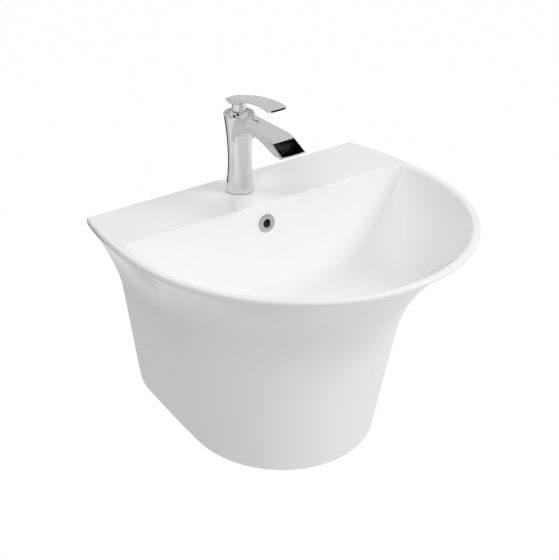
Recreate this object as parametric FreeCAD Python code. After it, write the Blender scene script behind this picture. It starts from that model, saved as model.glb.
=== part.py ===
import FreeCAD, Part
import math
import os
from FreeCAD import Vector

# A wall hung basin: one-piece china basin with a half-pedestal shroud, a single-lever
# spout tap on its deck, a push plug waste and the bottle trap behind the shroud.
# Millimetres and degrees. Origin: middle of the two wall bolts, on the wall plane.
# +Z up, +Y into the wall, -Y towards the user, +X to the right of the user's view.

# ---- china: rim outline -------------------------------------------------------------
RIM_ABOVE_BOLTS = 100.0
BASIN_WIDTH = 560.0
BASIN_DEPTH = 490.0
BACK_WIDTH = 506.0
WIDEST_FROM_WALL = 187.0
LIP_HEIGHT = 8.0
RIM_WIDTH = 11.0
MOUTH_ROUNDING = 2.0

# ---- china: shroud under the rim ----------------------------------------------------
COLUMN_WIDTH = 438.0
COLUMN_BACK_WIDTH = 428.0
COLUMN_DEPTH = 392.0
COLUMN_WIDEST_FROM_WALL = 150.0
SIDE_TAPER = 0.175
FRONT_TAPER = 0.29
FRONT_FLARE_HEIGHT = 200.0
FRONT_FLARE_POWER = 1.9
WALL_FLARE_START = 12.0
WALL_FLARE_HEIGHT = 120.0
WALL_FLARE_POWER = 1.6
BACK_HEIGHT = 313.0
BOTTOM_TILT = 14.5
BOTTOM_CORNER_RADIUS = 22.0
CHINA_WALL = 12.0

# ---- china: deck, bowl and web ------------------------------------------------------
DECK_DEPTH = 117.5
DECK_THICKNESS = 14.0
BOWL_DEPTH = 147.0
BACK_WALL_LEAN = 4.0
BOWL_CREASE_RADIUS = 12.0
DRAIN_FROM_WALL = 240.0
SIDE_STEEPNESS = 0.0029
FRONT_STEEPNESS = 0.0052
FLOOR_FALL = 11.0
BOWL_SOFTNESS = 10.0
WEB_THICKNESS = 14.0
WEB_HEIGHT = 150.0
BOLT_SPACING = 280.0
BOLT_CLEARANCE_DIAMETER = 11.0
BUSH_WALL = 3.0
BUSH_FLANGE_DIAMETER = 30.0
BUSH_FLANGE_THICKNESS = 2.5

# ---- china: overflow and waste hole -------------------------------------------------
OVERFLOW_DROP = 32.5
OVERFLOW_HOLE_DIAMETER = 24.0
OVERFLOW_RING_DIAMETER = 30.0
OVERFLOW_EYE_DIAMETER = 13.0
OVERFLOW_RING_LIP = 2.6
OVERFLOW_SLEEVE_LENGTH = 9.0
CHANNEL_WIDTH = 26.0
CHANNEL_HEIGHT = 12.0
CHANNEL_SKIN = 9.0
WASTE_BOSS_DIAMETER = 84.0
WASTE_BOSS_HEIGHT = 36.0
WASTE_HOLE_DIAMETER = 46.0
WASTE_RECESS_DEPTH = 4.0

# ---- fits ---------------------------------------------------------------------------
SEAT_GAP = 0.05
MOVING_GAP = 0.35
RUNNING_FIT = 0.05

# ---- tap ----------------------------------------------------------------------------
TAP_FROM_WALL = 48.5
TAP_HOLE_DIAMETER = 35.0
TAP_HEIGHT = 130.0
TAP_BASE_RADIUS = 23.3
TAP_WAIST_RADIUS = 18.6
TAP_TOP_RADIUS = 25.0
TAP_WAIST_HEIGHT = 50.0
GASKET_THICKNESS = 1.2
TAP_RIM_ROUNDING = 1.6
SPOUT_ROOT_WIDTH = 39.0
SPOUT_MIDDLE_WIDTH = 40.4
SPOUT_TIP_WIDTH = 45.0
SPOUT_EDGE_ROUNDING = 1.5
SPOUT_ROUNDED_FROM = 6.0
SPOUT_CREST = ((0.0, 126.5), (102.0, 126.2), (111.0, 124.8), (119.0, 121.6), (146.0, 108.0))
SPOUT_TIP_LOW = 106.0
SPOUT_KEEL = ((105, 109.2), (86, 114.2), (67, 116.4), (52, 114.6), (35, 109.2), (22, 101), (16.5, 88))
SPOUT_DISH_AHEAD = 30.0
SPOUT_DISH_ABOVE = 8.5
SPOUT_DISH_SEMI_AXES = (14.0, 45.0, 11.0)
BORE_DIAMETER = 35.2
BORE_FLOOR_HEIGHT = 84.0
CHAMBER_DIAMETER = 42.0
CHAMBER_DEPTH = 8.0
WATERWAY_WIDTH = 22.0
WATERWAY_LOW = ((12.0, 106.0), (40.0, 113.6), (55.0, 117.8), (104.0, 117.8), (122.0, 109.0), (130.0, 109.0))
WATERWAY_HIGH = ((130.0, 111.0), (110.0, 121.8), (60.0, 121.8), (40.0, 118.5), (12.0, 111.0))
OUTLET_AHEAD = 132.0
OUTLET_HEIGHT = 103.6
OUTLET_FLAT = 16.0
OUTLET_LENGTH = 14.0
OUTLET_WIDTH = 30.0
OUTLET_DEPTH = 6.0
OUTLET_SLOTS = 6
INLET_SPACING = 17.0
INLET_THREAD_DIAMETER = 9.0
INLET_THREAD_DEPTH = 14.0
INLET_BORE_DIAMETER = 8.0
STUD_SPACING = 22.0
STUD_DIAMETER = 6.0
STUD_IN_BODY = 12.0
STUD_LENGTH = 62.0
STUD_NUT_WIDTH = 10.0
STUD_NUT_HEIGHT = 5.0
CLAMP_DIAMETER = 50.0
CLAMP_RUBBER_THICKNESS = 3.0
CLAMP_PLATE_THICKNESS = 2.5

# ---- cartridge and lever ------------------------------------------------------------
CARTRIDGE_SEAL_THICKNESS = 1.5
CARTRIDGE_HEIGHT = 32.0
CARTRIDGE_NECK_DIAMETER = 28.0
CARTRIDGE_NECK_HEIGHT = 6.0
CARRIER_DIAMETER = 22.0
CARRIER_DEPTH = 14.0
CARRIER_COLLAR_DIAMETER = 28.0
CARRIER_COLLAR_HEIGHT = 3.5
CARRIER_RIM = 1.5
CARTRIDGE_NUT_HEIGHT = 4.5
PIVOT_ABOVE_NECK = -6.0
PIVOT_PIN_DIAMETER = 3.0
STEM_DIAMETER = 8.0
STEM_LENGTH = 27.0
DOME_RADIUS = 18.0
DOME_WALL = 2.0
DOME_FLANGE_THICKNESS = 1.6
LEVER_LIFT_MAX = 22.0
LEVER_BACK_WIDTH = 21.0
LEVER_MIDDLE_WIDTH = 24.0
LEVER_TIP_WIDTH = 35.0
LEVER_CREST = ((-22.0, 149.0), (4.0, 157.0), (35.0, 165.0), (60.0, 169.0), (85.0, 171.0), (105.0, 169.0))
LEVER_UNDER = ((105.0, 166.0), (85.0, 167.6), (60.0, 165.2), (35.0, 159.6), (13.0, 148.5))
LEVER_HEEL = ((-11.0, 143.0), (-22.0, 147.0))
LEVER_EDGE_ROUNDING = 1.0
LEVER_ROUNDED_FROM = 12.0
LEVER_NECK_RADIUS = 11.0
LEVER_NECK_TOP = 149.5
LEVER_SCREW_DIAMETER = 5.0
LEVER_SCREW_LENGTH = 5.0
SCREW_COVER_DIAMETER = 7.0
SCREW_COVER_THICKNESS = 1.5

# ---- waste --------------------------------------------------------------------------
WASTE_TUBE_DIAMETER = 41.8
WASTE_BORE_DIAMETER = 36.0
WASTE_FLANGE_DIAMETER = 63.0
WASTE_FLANGE_THICKNESS = 3.0
WASTE_LENGTH = 78.0
WASTE_SEAL_THICKNESS = 1.5
WASTE_SLOT_WIDTH = 20.0
LOWER_SEAL_HEIGHT = 8.0
LOWER_SEAL_TAPER_HEIGHT = 3.0
NUT_RIM = 8.0
WASTE_NUT_HEIGHT = 10.0
PLUG_DIAMETER = 61.0
PLUG_THICKNESS = 3.0
PLUG_CROWN = 3.0
PLUG_TRAVEL = 7.5
PLUG_SEAL_WIDTH = 5.0
PLUG_SEAL_THICKNESS = 2.0
PLUG_STEM_DIAMETER = 10.0
CLICK_DIAMETER = 18.0
CLICK_HEIGHT = 32.0
CLICK_DROP = 22.0
SPIDER_THICKNESS = 4.0
SPIDER_WIDTH = 4.0
CLICK_FLOOR = 2.0
CLICK_CHAMBER_HEIGHT = 16.0

# ---- bottle trap --------------------------------------------------------------------
PIPE_DIAMETER = 32.0
PIPE_WALL = 1.5
PIPE_COLLAR = 4.0
PIPE_COLLAR_THICKNESS = 3.0
UNION_SEAL_THICKNESS = 1.6
UNION_GRIP = 12.0
TRAP_DIAMETER = 62.0
TRAP_WALL = 3.0
TRAP_TOP_DROP = 115.0
TRAP_NECK_HEIGHT = 12.0
TRAP_NECK_DIAMETER = 42.0
TRAP_HOUSING_HEIGHT = 52.0
TRAP_CUP_HEIGHT = 38.0
TRAP_CUP_GRIP = 10.0
TRAP_CUP_SEAL_THICKNESS = 1.6
TRAP_NUT_HEIGHT = 15.0
TRAP_NUT_RIM = 4.0
TRAP_SEAL_HEIGHT = 4.0
TRAP_BRANCH_LENGTH = 20.0
DIP_CLEARANCE = 12.0
PIPE_END_LENGTH = 30.0
PIPE_END_DIAMETER = 31.0
ROSETTE_DIAMETER = 70.0
ROSETTE_HEIGHT = 10.0
ROSETTE_WALL = 1.5

# ---- derived places -----------------------------------------------------------------
RIM = RIM_ABOVE_BOLTS
BOTTOM_FALL = math.tan(math.radians(BOTTOM_TILT))
BACK_LEAN = math.tan(math.radians(BACK_WALL_LEAN))
BOLT_BORE = BOLT_CLEARANCE_DIAMETER + 2 * BUSH_WALL
FLOOR = RIM - BOWL_DEPTH
FAR = 2 * BASIN_WIDTH
OUTLINE_STEPS = 18
SHELL_LEVELS = 13
BOWL_LEVELS = 14
BOWL_FIRST_SHARE = 1.03
BOWL_LAST_SHARE = 0.2
BOWL_SPOKES = 32


# ---- shared shapes ------------------------------------------------------------------
def disc(radius, low, high, x=0.0, y=0.0):
    """Upright cylinder between two heights."""
    return Part.makeCylinder(radius, high - low, Vector(x, y, low))


def ring(inner, outer, low, high, x=0.0, y=0.0):
    """Upright tube between two heights."""
    return disc(outer, low, high, x, y).cut(disc(inner, low - 1, high + 1, x, y))


def block(x0, x1, y0, y1, z0, z1):
    """Box between two corners."""
    return Part.makeBox(x1 - x0, y1 - y0, z1 - z0, Vector(x0, y0, z0))


def hexagon(across_flats, low, high, x=0.0, y=0.0):
    """Upright hexagonal prism."""
    corner = across_flats / math.sqrt(3)
    turns = [math.radians(60 * i) for i in range(7)]
    points = [Vector(x + corner * math.cos(t), y + corner * math.sin(t), low) for t in turns]
    return Part.Face(Part.makePolygon(points)).extrude(Vector(0, 0, high - low))


def turned(outline):
    """Solid of revolution about Z of a closed outline of (radius, height) points."""
    points = [Vector(r, 0, h) for r, h in outline]
    face = Part.Face(Part.makePolygon(points + points[:1]))
    return face.revolve(Vector(0, 0, 0), Vector(0, 0, 1), 360)


def tube_along_y(inner, outer, y0, y1, z):
    """Level tube along Y on the plane X = 0."""
    start = Vector(0, y0, z)
    way = Vector(0, 1, 0)
    wall = Part.makeCylinder(outer, y1 - y0, start, way)
    return wall.cut(Part.makeCylinder(inner, y1 - y0 + 2, Vector(0, y0 - 1, z), way))


def spline_edge(points):
    """Smooth edge through points."""
    curve = Part.BSplineCurve()
    curve.interpolate(Points=points)
    return curve.toShape()


def save(name, shape):
    """Write one sub-part."""
    shape.exportStep("parts/%s.step" % name)


# ---- china ----------------------------------------------------------------------------
SIDE_SHARE = 1 / 3


def plan_point(half_width, back_half, widest, depth, s):
    """Plan outline: s is 0 at the wall, SIDE_SHARE at the widest place, 1 at the front."""
    if s < SIDE_SHARE:
        t = s / SIDE_SHARE
        x = half_width - (half_width - back_half) * (1 - t) ** 2
        return Vector(x, -widest * t, 0)
    turn = (s - SIDE_SHARE) / (1 - SIDE_SHARE) * math.pi / 2
    return Vector(half_width * math.cos(turn), -widest - (depth - widest) * math.sin(turn), 0)


def rim_point(s):
    """Outermost line of the rim."""
    return plan_point(BASIN_WIDTH / 2, BACK_WIDTH / 2, WIDEST_FROM_WALL, BASIN_DEPTH, s)


def column_point(s, drop):
    """Tapered column that the shroud would be with no flare, a drop below the rim."""
    side = SIDE_TAPER * drop
    front = COLUMN_DEPTH - FRONT_TAPER * drop
    half = COLUMN_WIDTH / 2 - side
    return plan_point(half, COLUMN_BACK_WIDTH / 2 - side, COLUMN_WIDEST_FROM_WALL, front, s)


def flare(s, drop):
    """Share of the way from the column out to the rim: one law at the wall, one in front."""
    front = max(0.0, 1 - drop / FRONT_FLARE_HEIGHT) ** FRONT_FLARE_POWER
    fall = (drop - WALL_FLARE_START) / WALL_FLARE_HEIGHT
    wall = min(1.0, max(0.0, 1 - fall)) ** WALL_FLARE_POWER
    t = min(1.0, max(0.0, s))
    return wall + (front - wall) * t * t * (3 - 2 * t)


def shroud_point(s, drop):
    """Outer face of the shroud."""
    return column_point(s, drop) + (rim_point(s) - column_point(s, 0.0)) * flare(s, drop)


def outline(point_at, inset, height):
    """Closed level wire: a plan outline taken in by inset, closed behind the wall plane."""
    shares = [-0.12 + 1.12 * i / OUTLINE_STEPS for i in range(OUTLINE_STEPS + 1)]
    half = []
    for s in shares:
        way = point_at(s + 0.001) - point_at(s - 0.001)
        outward = Vector(-way.y, way.x, 0).normalize()
        spot = point_at(s) - outward * inset
        half.append(Vector(spot.x, spot.y, height))
    points = half + [Vector(-p.x, p.y, p.z) for p in reversed(half[:-1])]
    return Part.Wire([spline_edge(points), Part.makeLine(points[-1], points[0])])


def shroud_solid(inset, top_drop):
    """The shroud's space from a drop below the rim to under its lowest edge."""
    bottom_drop = BACK_HEIGHT + BASIN_DEPTH * BOTTOM_FALL
    wires = []
    for i in range(SHELL_LEVELS + 1):
        drop = top_drop + (bottom_drop - top_drop) * (i / SHELL_LEVELS) ** 1.3
        wires.append(outline(lambda s: shroud_point(s, drop), inset, RIM - drop))
    return Part.makeLoft(wires, True, False)


def rim_plate():
    """The rim as a flat plate with a fully rounded edge."""
    face = Part.Face(outline(rim_point, 0.0, RIM - LIP_HEIGHT))
    plate = face.extrude(Vector(0, 0, LIP_HEIGHT))
    level = [e for e in plate.Edges if e.BoundBox.ZLength < 0.01]
    curved = [e for e in level if e.BoundBox.YLength > BASIN_DEPTH / 2]
    return plate.makeFillet(LIP_HEIGHT / 2 - SEAT_GAP, curved)


def below_bottom():
    """Everything under the shroud's sloping bottom edge, with its round corner at the wall."""
    back = RIM - BACK_HEIGHT
    tilt = math.radians(BOTTOM_TILT)
    turn = (math.pi / 2 - tilt) / 2
    reach = BOTTOM_CORNER_RADIUS / math.tan(math.pi / 4 + tilt / 2)
    start = Vector(0, -reach * math.cos(tilt), back - reach * math.sin(tilt))
    end = Vector(0, 0, back + reach)
    centre = Vector(0, -BOTTOM_CORNER_RADIUS, back + reach)
    middle = centre + Vector(0, math.cos(turn), -math.sin(turn)) * BOTTOM_CORNER_RADIUS
    front = Vector(0, -FAR, back - FAR * BOTTOM_FALL)
    corner = [front, Vector(0, -FAR, -2 * FAR), Vector(0, FAR, -2 * FAR), Vector(0, FAR, end.z), end]
    edges = [Part.makeLine(a, b) for a, b in zip(corner, corner[1:])]
    edges.append(Part.Arc(end, middle, start).toShape())
    edges.append(Part.makeLine(start, front))
    face = Part.Face(Part.Wire(edges))
    tool = face.extrude(Vector(2 * FAR, 0, 0))
    tool.translate(Vector(-FAR, 0, 0))
    return tool


def mouth_radius(turn):
    """Distance from the drain to the bowl's mouth, at a plan angle from the front."""
    half_width = BASIN_WIDTH / 2 - RIM_WIDTH
    ahead = DRAIN_FROM_WALL - WIDEST_FROM_WALL
    for length in (BASIN_DEPTH - RIM_WIDTH - WIDEST_FROM_WALL, half_width):
        a = (math.sin(turn) / half_width) ** 2 + (math.cos(turn) / length) ** 2
        b = 2 * ahead * math.cos(turn) / length**2
        c = (ahead / length) ** 2 - 1
        radius = (-b + math.sqrt(b * b - 4 * a * c)) / (2 * a)
        if ahead + radius * math.cos(turn) > 0:
            break
    return radius


def steepness(turn):
    """Share of the way to the drain that the bowl's wall gains per millimetre of depth."""
    return SIDE_STEEPNESS + (FRONT_STEEPNESS - SIDE_STEEPNESS) * max(0.0, math.cos(turn)) ** 2


def bowl_drop(share, rate, floor):
    """Depth at a share of the way to the drain: wall line and floor line, blended softly."""
    wall = share / rate
    low = floor - FLOOR_FALL * (1 - share)
    return (wall + low) / 2 - math.hypot((wall - low) / 2, BOWL_SOFTNESS)


def bowl_share(drop, rate, floor):
    """The share of the way to the drain at which the bowl is that deep."""
    slope = 1 / rate
    rest = floor - FLOOR_FALL - drop
    a = slope * FLOOR_FALL
    b = slope * rest - drop * FLOOR_FALL
    c = -drop * rest - BOWL_SOFTNESS**2
    return (-b + math.sqrt(b * b - 4 * a * c)) / (2 * a)


def bowl_solid(grow, back_plane, crease):
    """The bowl's space grown by a wall thickness, its back wall's crease rounded."""
    floor = BOWL_DEPTH + grow
    wires = []
    for i in range(BOWL_LEVELS + 1):
        share = BOWL_FIRST_SHARE + (BOWL_LAST_SHARE - BOWL_FIRST_SHARE) * i / BOWL_LEVELS
        drop = bowl_drop(1 - share, SIDE_STEEPNESS, floor)
        points = []
        for k in range(BOWL_SPOKES):
            turn = 2 * math.pi * k / BOWL_SPOKES
            along = mouth_radius(turn) * (1 - bowl_share(drop, steepness(turn), floor))
            radius = along + grow * math.sqrt(2)
            x = radius * math.sin(turn)
            y = -DRAIN_FROM_WALL - radius * math.cos(turn)
            points.append(Vector(x, y, RIM - drop))
        curve = Part.BSplineCurve()
        curve.interpolate(Points=points, PeriodicFlag=True)
        wires.append(Part.Wire([curve.toShape()]))
    cup = Part.makeLoft(wires, True, False)
    top = Vector(0, -back_plane + BACK_LEAN * FAR, RIM + FAR)
    low = Vector(0, -back_plane - BACK_LEAN * FAR, RIM - FAR)
    behind = [top, low, Vector(0, FAR, RIM - FAR), Vector(0, FAR, RIM + FAR)]
    face = Part.Face(Part.makePolygon(behind + [top]))
    tool = face.extrude(Vector(2 * FAR, 0, 0))
    tool.translate(Vector(-FAR, 0, 0))
    space = cup.cut(tool)
    back_wall = min(space.Faces, key=lambda f: abs(f.BoundBox.YMax + back_plane) + f.BoundBox.YLength)
    curved = [e for e in back_wall.Edges if e.BoundBox.ZLength > BOWL_DEPTH / 2]
    return space.makeFillet(crease, curved)


def back_wall_y(drop, behind=0.0):
    """Y of the bowl's back wall at a drop below the rim, or of a plane behind it."""
    return -DECK_DEPTH - BACK_LEAN * drop + behind


def overflow_channel(skin):
    """Water channel behind and under the bowl, from the overflow to the waste, with a skin."""
    half = CHANNEL_WIDTH / 2 + skin
    top = RIM - OVERFLOW_DROP + OVERFLOW_HOLE_DIAMETER / 2 + skin
    low_top = FLOOR - CHINA_WALL
    low = low_top - CHANNEL_HEIGHT - skin
    back = back_wall_y(0.0, CHINA_WALL)
    front = back_wall_y(BOWL_DEPTH) if skin else back
    upright = block(-half, half, front, back + CHANNEL_HEIGHT + skin, low, top)
    level = block(-half, half, -DRAIN_FROM_WALL, back + CHANNEL_HEIGHT + skin, low, low_top)
    return upright.fuse(level)


def overflow_place():
    """Middle of the overflow hole, on the bowl's back wall."""
    return Vector(0, back_wall_y(OVERFLOW_DROP), RIM - OVERFLOW_DROP)


def overflow_way():
    """Direction square into the bowl's back wall."""
    return Vector(0, 1, -BACK_LEAN).normalize()


def basin_body():
    """The glazed china in one piece."""
    block_out = rim_plate().fuse(shroud_solid(0.0, LIP_HEIGHT / 2))
    behind_wall = block(-FAR, FAR, 0.0, FAR, -FAR, FAR)
    block_out = block_out.cut(behind_wall).cut(below_bottom())

    hollow = shroud_solid(CHINA_WALL, DECK_THICKNESS)
    hollow = hollow.cut(bowl_solid(CHINA_WALL, DECK_DEPTH - CHINA_WALL, BOWL_CREASE_RADIUS + CHINA_WALL))
    hollow = hollow.cut(block(-FAR, FAR, -WEB_THICKNESS, FAR, RIM - WEB_HEIGHT, FAR))
    hollow = hollow.cut(overflow_channel(CHANNEL_SKIN))
    boss_low = FLOOR - WASTE_RECESS_DEPTH - WASTE_BOSS_HEIGHT
    hollow = hollow.cut(disc(WASTE_BOSS_DIAMETER / 2, boss_low, FLOOR, 0, -DRAIN_FROM_WALL))
    china = block_out.cut(hollow)

    china = china.cut(bowl_solid(0.0, DECK_DEPTH, BOWL_CREASE_RADIUS))
    mouth = [e for e in china.Edges if is_mouth(e)]
    china = china.makeFillet(MOUTH_ROUNDING, mouth)

    china = china.cut(overflow_channel(0.0))
    reach = CHINA_WALL + CHANNEL_HEIGHT / 2
    start = overflow_place() - overflow_way() * CHINA_WALL
    eye = Part.makeCylinder(OVERFLOW_HOLE_DIAMETER / 2, CHINA_WALL + reach, start, overflow_way())
    china = china.cut(eye)
    hole_low = boss_low - 1
    china = china.cut(disc(WASTE_HOLE_DIAMETER / 2, hole_low, RIM, 0, -DRAIN_FROM_WALL))
    recess = disc(WASTE_FLANGE_DIAMETER / 2 + 2, FLOOR - WASTE_RECESS_DEPTH, RIM, 0, -DRAIN_FROM_WALL)
    china = china.cut(recess)
    china = china.cut(disc(TAP_HOLE_DIAMETER / 2, RIM - DECK_THICKNESS - 1, RIM + 1, 0, -TAP_FROM_WALL))
    for side in (-1, 1):
        start = Vector(side * BOLT_SPACING / 2, -WEB_THICKNESS - 1, 0)
        china = china.cut(Part.makeCylinder(BOLT_BORE / 2, WEB_THICKNESS + 2, start, Vector(0, 1, 0)))
    return china


def is_mouth(edge):
    """True for an edge where the bowl meets the deck or the rim's top."""
    box = edge.BoundBox
    if box.ZLength > 0.01 or abs(box.ZMax - RIM) > 0.01:
        return False
    inside = box.YMax < -DECK_DEPTH + 1
    return inside and box.YMin > -BASIN_DEPTH + RIM_WIDTH / 2


def wall_bolt_bushes():
    """Two flanged plastic bushes that line the wall bolt holes."""
    bushes = []
    way = Vector(0, 1, 0)
    for side in (-1, 1):
        seat = Vector(side * BOLT_SPACING / 2, -WEB_THICKNESS, 0)
        head = seat - way * BUSH_FLANGE_THICKNESS
        sleeve = Part.makeCylinder(BOLT_BORE / 2 - SEAT_GAP, WEB_THICKNESS, seat, way)
        flange = Part.makeCylinder(BUSH_FLANGE_DIAMETER / 2, BUSH_FLANGE_THICKNESS, head, way)
        through = Part.makeCylinder(BOLT_CLEARANCE_DIAMETER / 2, FAR, head - way, way)
        bushes.append(sleeve.fuse(flange).removeSplitter().cut(through))
    return Part.makeCompound(bushes)


def overflow_ring():
    """Chrome trim ring: a domed lip on the bowl's back wall and a sleeve in the hole."""
    eye = OVERFLOW_EYE_DIAMETER / 2
    lip = OVERFLOW_RING_DIAMETER / 2
    sleeve = OVERFLOW_HOLE_DIAMETER / 2 - SEAT_GAP
    thin = 1.2
    profile = [
        (eye, -OVERFLOW_SLEEVE_LENGTH),
        (eye, OVERFLOW_RING_LIP / 3),
        (eye + thin, OVERFLOW_RING_LIP * 0.8),
        (eye + 2 * thin, OVERFLOW_RING_LIP),
        (lip - 2 * thin, OVERFLOW_RING_LIP * 0.9),
        (lip, SEAT_GAP + thin / 2),
        (lip, SEAT_GAP),
        (sleeve, SEAT_GAP),
        (sleeve, -OVERFLOW_SLEEVE_LENGTH),
    ]
    shape = turned(profile)
    shape.rotate(Vector(0, 0, 0), Vector(1, 0, 0), 90 - BACK_WALL_LEAN)
    shape.translate(overflow_place())
    return shape


# ---- tap: local frame with its origin on the deck, on the tap's axis, spout along -Y --
def column_radius(height):
    """Waisted column: widest at the foot and at the top."""
    if height < TAP_WAIST_HEIGHT:
        t = 1 - height / TAP_WAIST_HEIGHT
        return TAP_WAIST_RADIUS + (TAP_BASE_RADIUS - TAP_WAIST_RADIUS) * t**1.7
    t = (height - TAP_WAIST_HEIGHT) / (TAP_HEIGHT - TAP_WAIST_HEIGHT)
    return TAP_WAIST_RADIUS + (TAP_TOP_RADIUS - TAP_WAIST_RADIUS) * t**1.9


def column_solid():
    """The column turned from its profile."""
    heights = [GASKET_THICKNESS + (TAP_HEIGHT - GASKET_THICKNESS) * i / 8 for i in range(9)]
    side = spline_edge([Vector(column_radius(h), 0, h) for h in heights])
    low = Vector(0, 0, GASKET_THICKNESS)
    high = Vector(0, 0, TAP_HEIGHT)
    foot = Part.makeLine(low, Vector(column_radius(GASKET_THICKNESS), 0, GASKET_THICKNESS))
    head = Part.makeLine(Vector(column_radius(TAP_HEIGHT), 0, TAP_HEIGHT), high)
    face = Part.Face(Part.Wire([foot, side, head, Part.makeLine(high, low)]))
    return face.revolve(Vector(0, 0, 0), Vector(0, 0, 1), 360)


def side_points(outline):
    """Points on the tap's middle plane from (ahead of the axis, height) pairs."""
    return [Vector(0, -ahead, height) for ahead, height in outline]


def side_plate(edges, width):
    """Plate of a width across the tap, from the closed edges of its side profile."""
    plate = Part.Face(Part.Wire(edges)).extrude(Vector(width, 0, 0))
    plate.translate(Vector(-width / 2, 0, 0))
    return plate


def plan_trim(back, root_half, middle, middle_half, reach, tip_half):
    """Upright prism with a blade's plan: two curved sides and a slightly bowed tip."""
    left = [Vector(-root_half, back, 0), Vector(-middle_half, -middle, 0), Vector(-tip_half, 1 - reach, 0)]
    right = [Vector(-p.x, p.y, 0) for p in reversed(left)]
    bow = Part.Arc(left[-1], Vector(0, -reach, 0), right[0]).toShape()
    plan = [spline_edge(left), bow, spline_edge(right), Part.makeLine(right[-1], left[0])]
    return Part.Face(Part.Wire(plan)).extrude(Vector(0, 0, 2 * TAP_HEIGHT))


def rounded_sides(blade, radius, shortest):
    """The blade with its long lengthwise edges rounded."""
    boxes = [(e, e.BoundBox) for e in blade.Edges]
    return blade.makeFillet(radius, [e for e, box in boxes if box.YLength > max(shortest, box.XLength)])


def spout_solid():
    """Flat spout: a side profile across the tap, trimmed to its plan."""
    root, brow, bend, slope, nose = side_points(SPOUT_CREST)
    reach = SPOUT_CREST[-1][0]
    chin = Vector(0, -reach, SPOUT_TIP_LOW)
    flat = side_points([(OUTLET_AHEAD + half * OUTLET_FLAT, OUTLET_HEIGHT) for half in (0.5, -0.5)])
    keel = [flat[1]] + side_points(SPOUT_KEEL)
    foot = Vector(0, 0, keel[-1].z)
    edges = [
        Part.makeLine(root, brow),
        Part.Arc(brow, bend, slope).toShape(),
        Part.makeLine(slope, nose),
        Part.makeLine(nose, chin),
        Part.makeLine(chin, flat[0]),
        Part.makeLine(flat[0], flat[1]),
        spline_edge(keel),
        Part.makeLine(keel[-1], foot),
        Part.makeLine(foot, root),
    ]
    blade = side_plate(edges, 2 * SPOUT_TIP_WIDTH)
    trim = plan_trim(0, SPOUT_ROOT_WIDTH / 2, reach / 2, SPOUT_MIDDLE_WIDTH / 2, reach, SPOUT_TIP_WIDTH / 2)
    return rounded_sides(blade.common(trim), SPOUT_EDGE_ROUNDING, SPOUT_ROUNDED_FROM)


def spout_dish():
    """Shallow teardrop hollow in the spout's top, beside the column's mouth."""
    stretch = FreeCAD.Matrix()
    stretch.scale(Vector(*SPOUT_DISH_SEMI_AXES))
    dish = Part.makeSphere(1.0).transformGeometry(stretch)
    dish.translate(Vector(0, -SPOUT_DISH_AHEAD, SPOUT_CREST[0][1] + SPOUT_DISH_ABOVE))
    return dish


def waterway():
    """Passage from the cartridge's side port through the spout to its outlet."""
    points = side_points(WATERWAY_LOW + WATERWAY_HIGH)
    lines = [Part.makeLine(p, q) for p, q in zip(points, points[1:] + points[:1])]
    return side_plate(lines, WATERWAY_WIDTH)


def tap_body():
    """Cast brass body with its cartridge bore, waterway, threaded inlets and stud holes."""
    body = column_solid().fuse(spout_solid()).removeSplitter()
    body = body.cut(disc(CHAMBER_DIAMETER / 2, TAP_HEIGHT - CHAMBER_DEPTH, TAP_HEIGHT + 1))
    body = body.makeFillet(TAP_RIM_ROUNDING, [e for e in body.Edges if e.BoundBox.ZMin > TAP_HEIGHT - 0.01])
    body = body.cut(disc(BORE_DIAMETER / 2, BORE_FLOOR_HEIGHT, TAP_HEIGHT + 1))
    body = body.cut(spout_dish()).cut(waterway())
    half = OUTLET_WIDTH / 2
    front = OUTLET_AHEAD + OUTLET_LENGTH / 2
    back = OUTLET_AHEAD - OUTLET_LENGTH / 2
    body = body.cut(block(-half, half, -front, -back, OUTLET_HEIGHT - 1, OUTLET_HEIGHT + OUTLET_DEPTH))
    for side in (-1, 1):
        x = side * INLET_SPACING / 2
        body = body.cut(disc(INLET_THREAD_DIAMETER / 2, 0, GASKET_THICKNESS + INLET_THREAD_DEPTH, x, 0))
        body = body.cut(disc(INLET_BORE_DIAMETER / 2, 0, BORE_FLOOR_HEIGHT + 1, x, 0))
        y = side * STUD_SPACING / 2
        body = body.cut(disc(STUD_DIAMETER / 2, 0, GASKET_THICKNESS + STUD_IN_BODY, 0, y))
    return body


def tap_base_gasket():
    """Rubber ring between the tap's foot and the deck."""
    return ring(TAP_HOLE_DIAMETER / 2, TAP_BASE_RADIUS - 1.5, 0, GASKET_THICKNESS)


def clamp_outline(low, high):
    """Horseshoe under the deck, with a slot for the hoses, between two heights."""
    plate = disc(CLAMP_DIAMETER / 2, low, high)
    slot_half = INLET_SPACING / 2 + INLET_THREAD_DIAMETER / 2 + 1
    slot_deep = STUD_SPACING / 2 - STUD_DIAMETER
    plate = plate.cut(block(-slot_half, CLAMP_DIAMETER, -slot_deep, slot_deep, low - 1, high + 1))
    for side in (-1, 1):
        y = side * STUD_SPACING / 2
        plate = plate.cut(disc(STUD_DIAMETER / 2 + SEAT_GAP, low - 1, high + 1, 0, y))
    return plate


def tap_clamp_washer():
    """Rubber horseshoe against the underside of the deck."""
    high = -DECK_THICKNESS
    return clamp_outline(high - CLAMP_RUBBER_THICKNESS, high)


def tap_clamp_plate():
    """Steel horseshoe under the rubber one."""
    high = -DECK_THICKNESS - CLAMP_RUBBER_THICKNESS
    return clamp_outline(high - CLAMP_PLATE_THICKNESS, high)


def tap_studs():
    """Two threaded studs from the tap's foot down through the deck."""
    studs = []
    for side in (-1, 1):
        high = GASKET_THICKNESS + STUD_IN_BODY
        y = side * STUD_SPACING / 2
        studs.append(disc(STUD_DIAMETER / 2 - SEAT_GAP, high - STUD_LENGTH, high, 0, y))
    return Part.makeCompound(studs)


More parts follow.
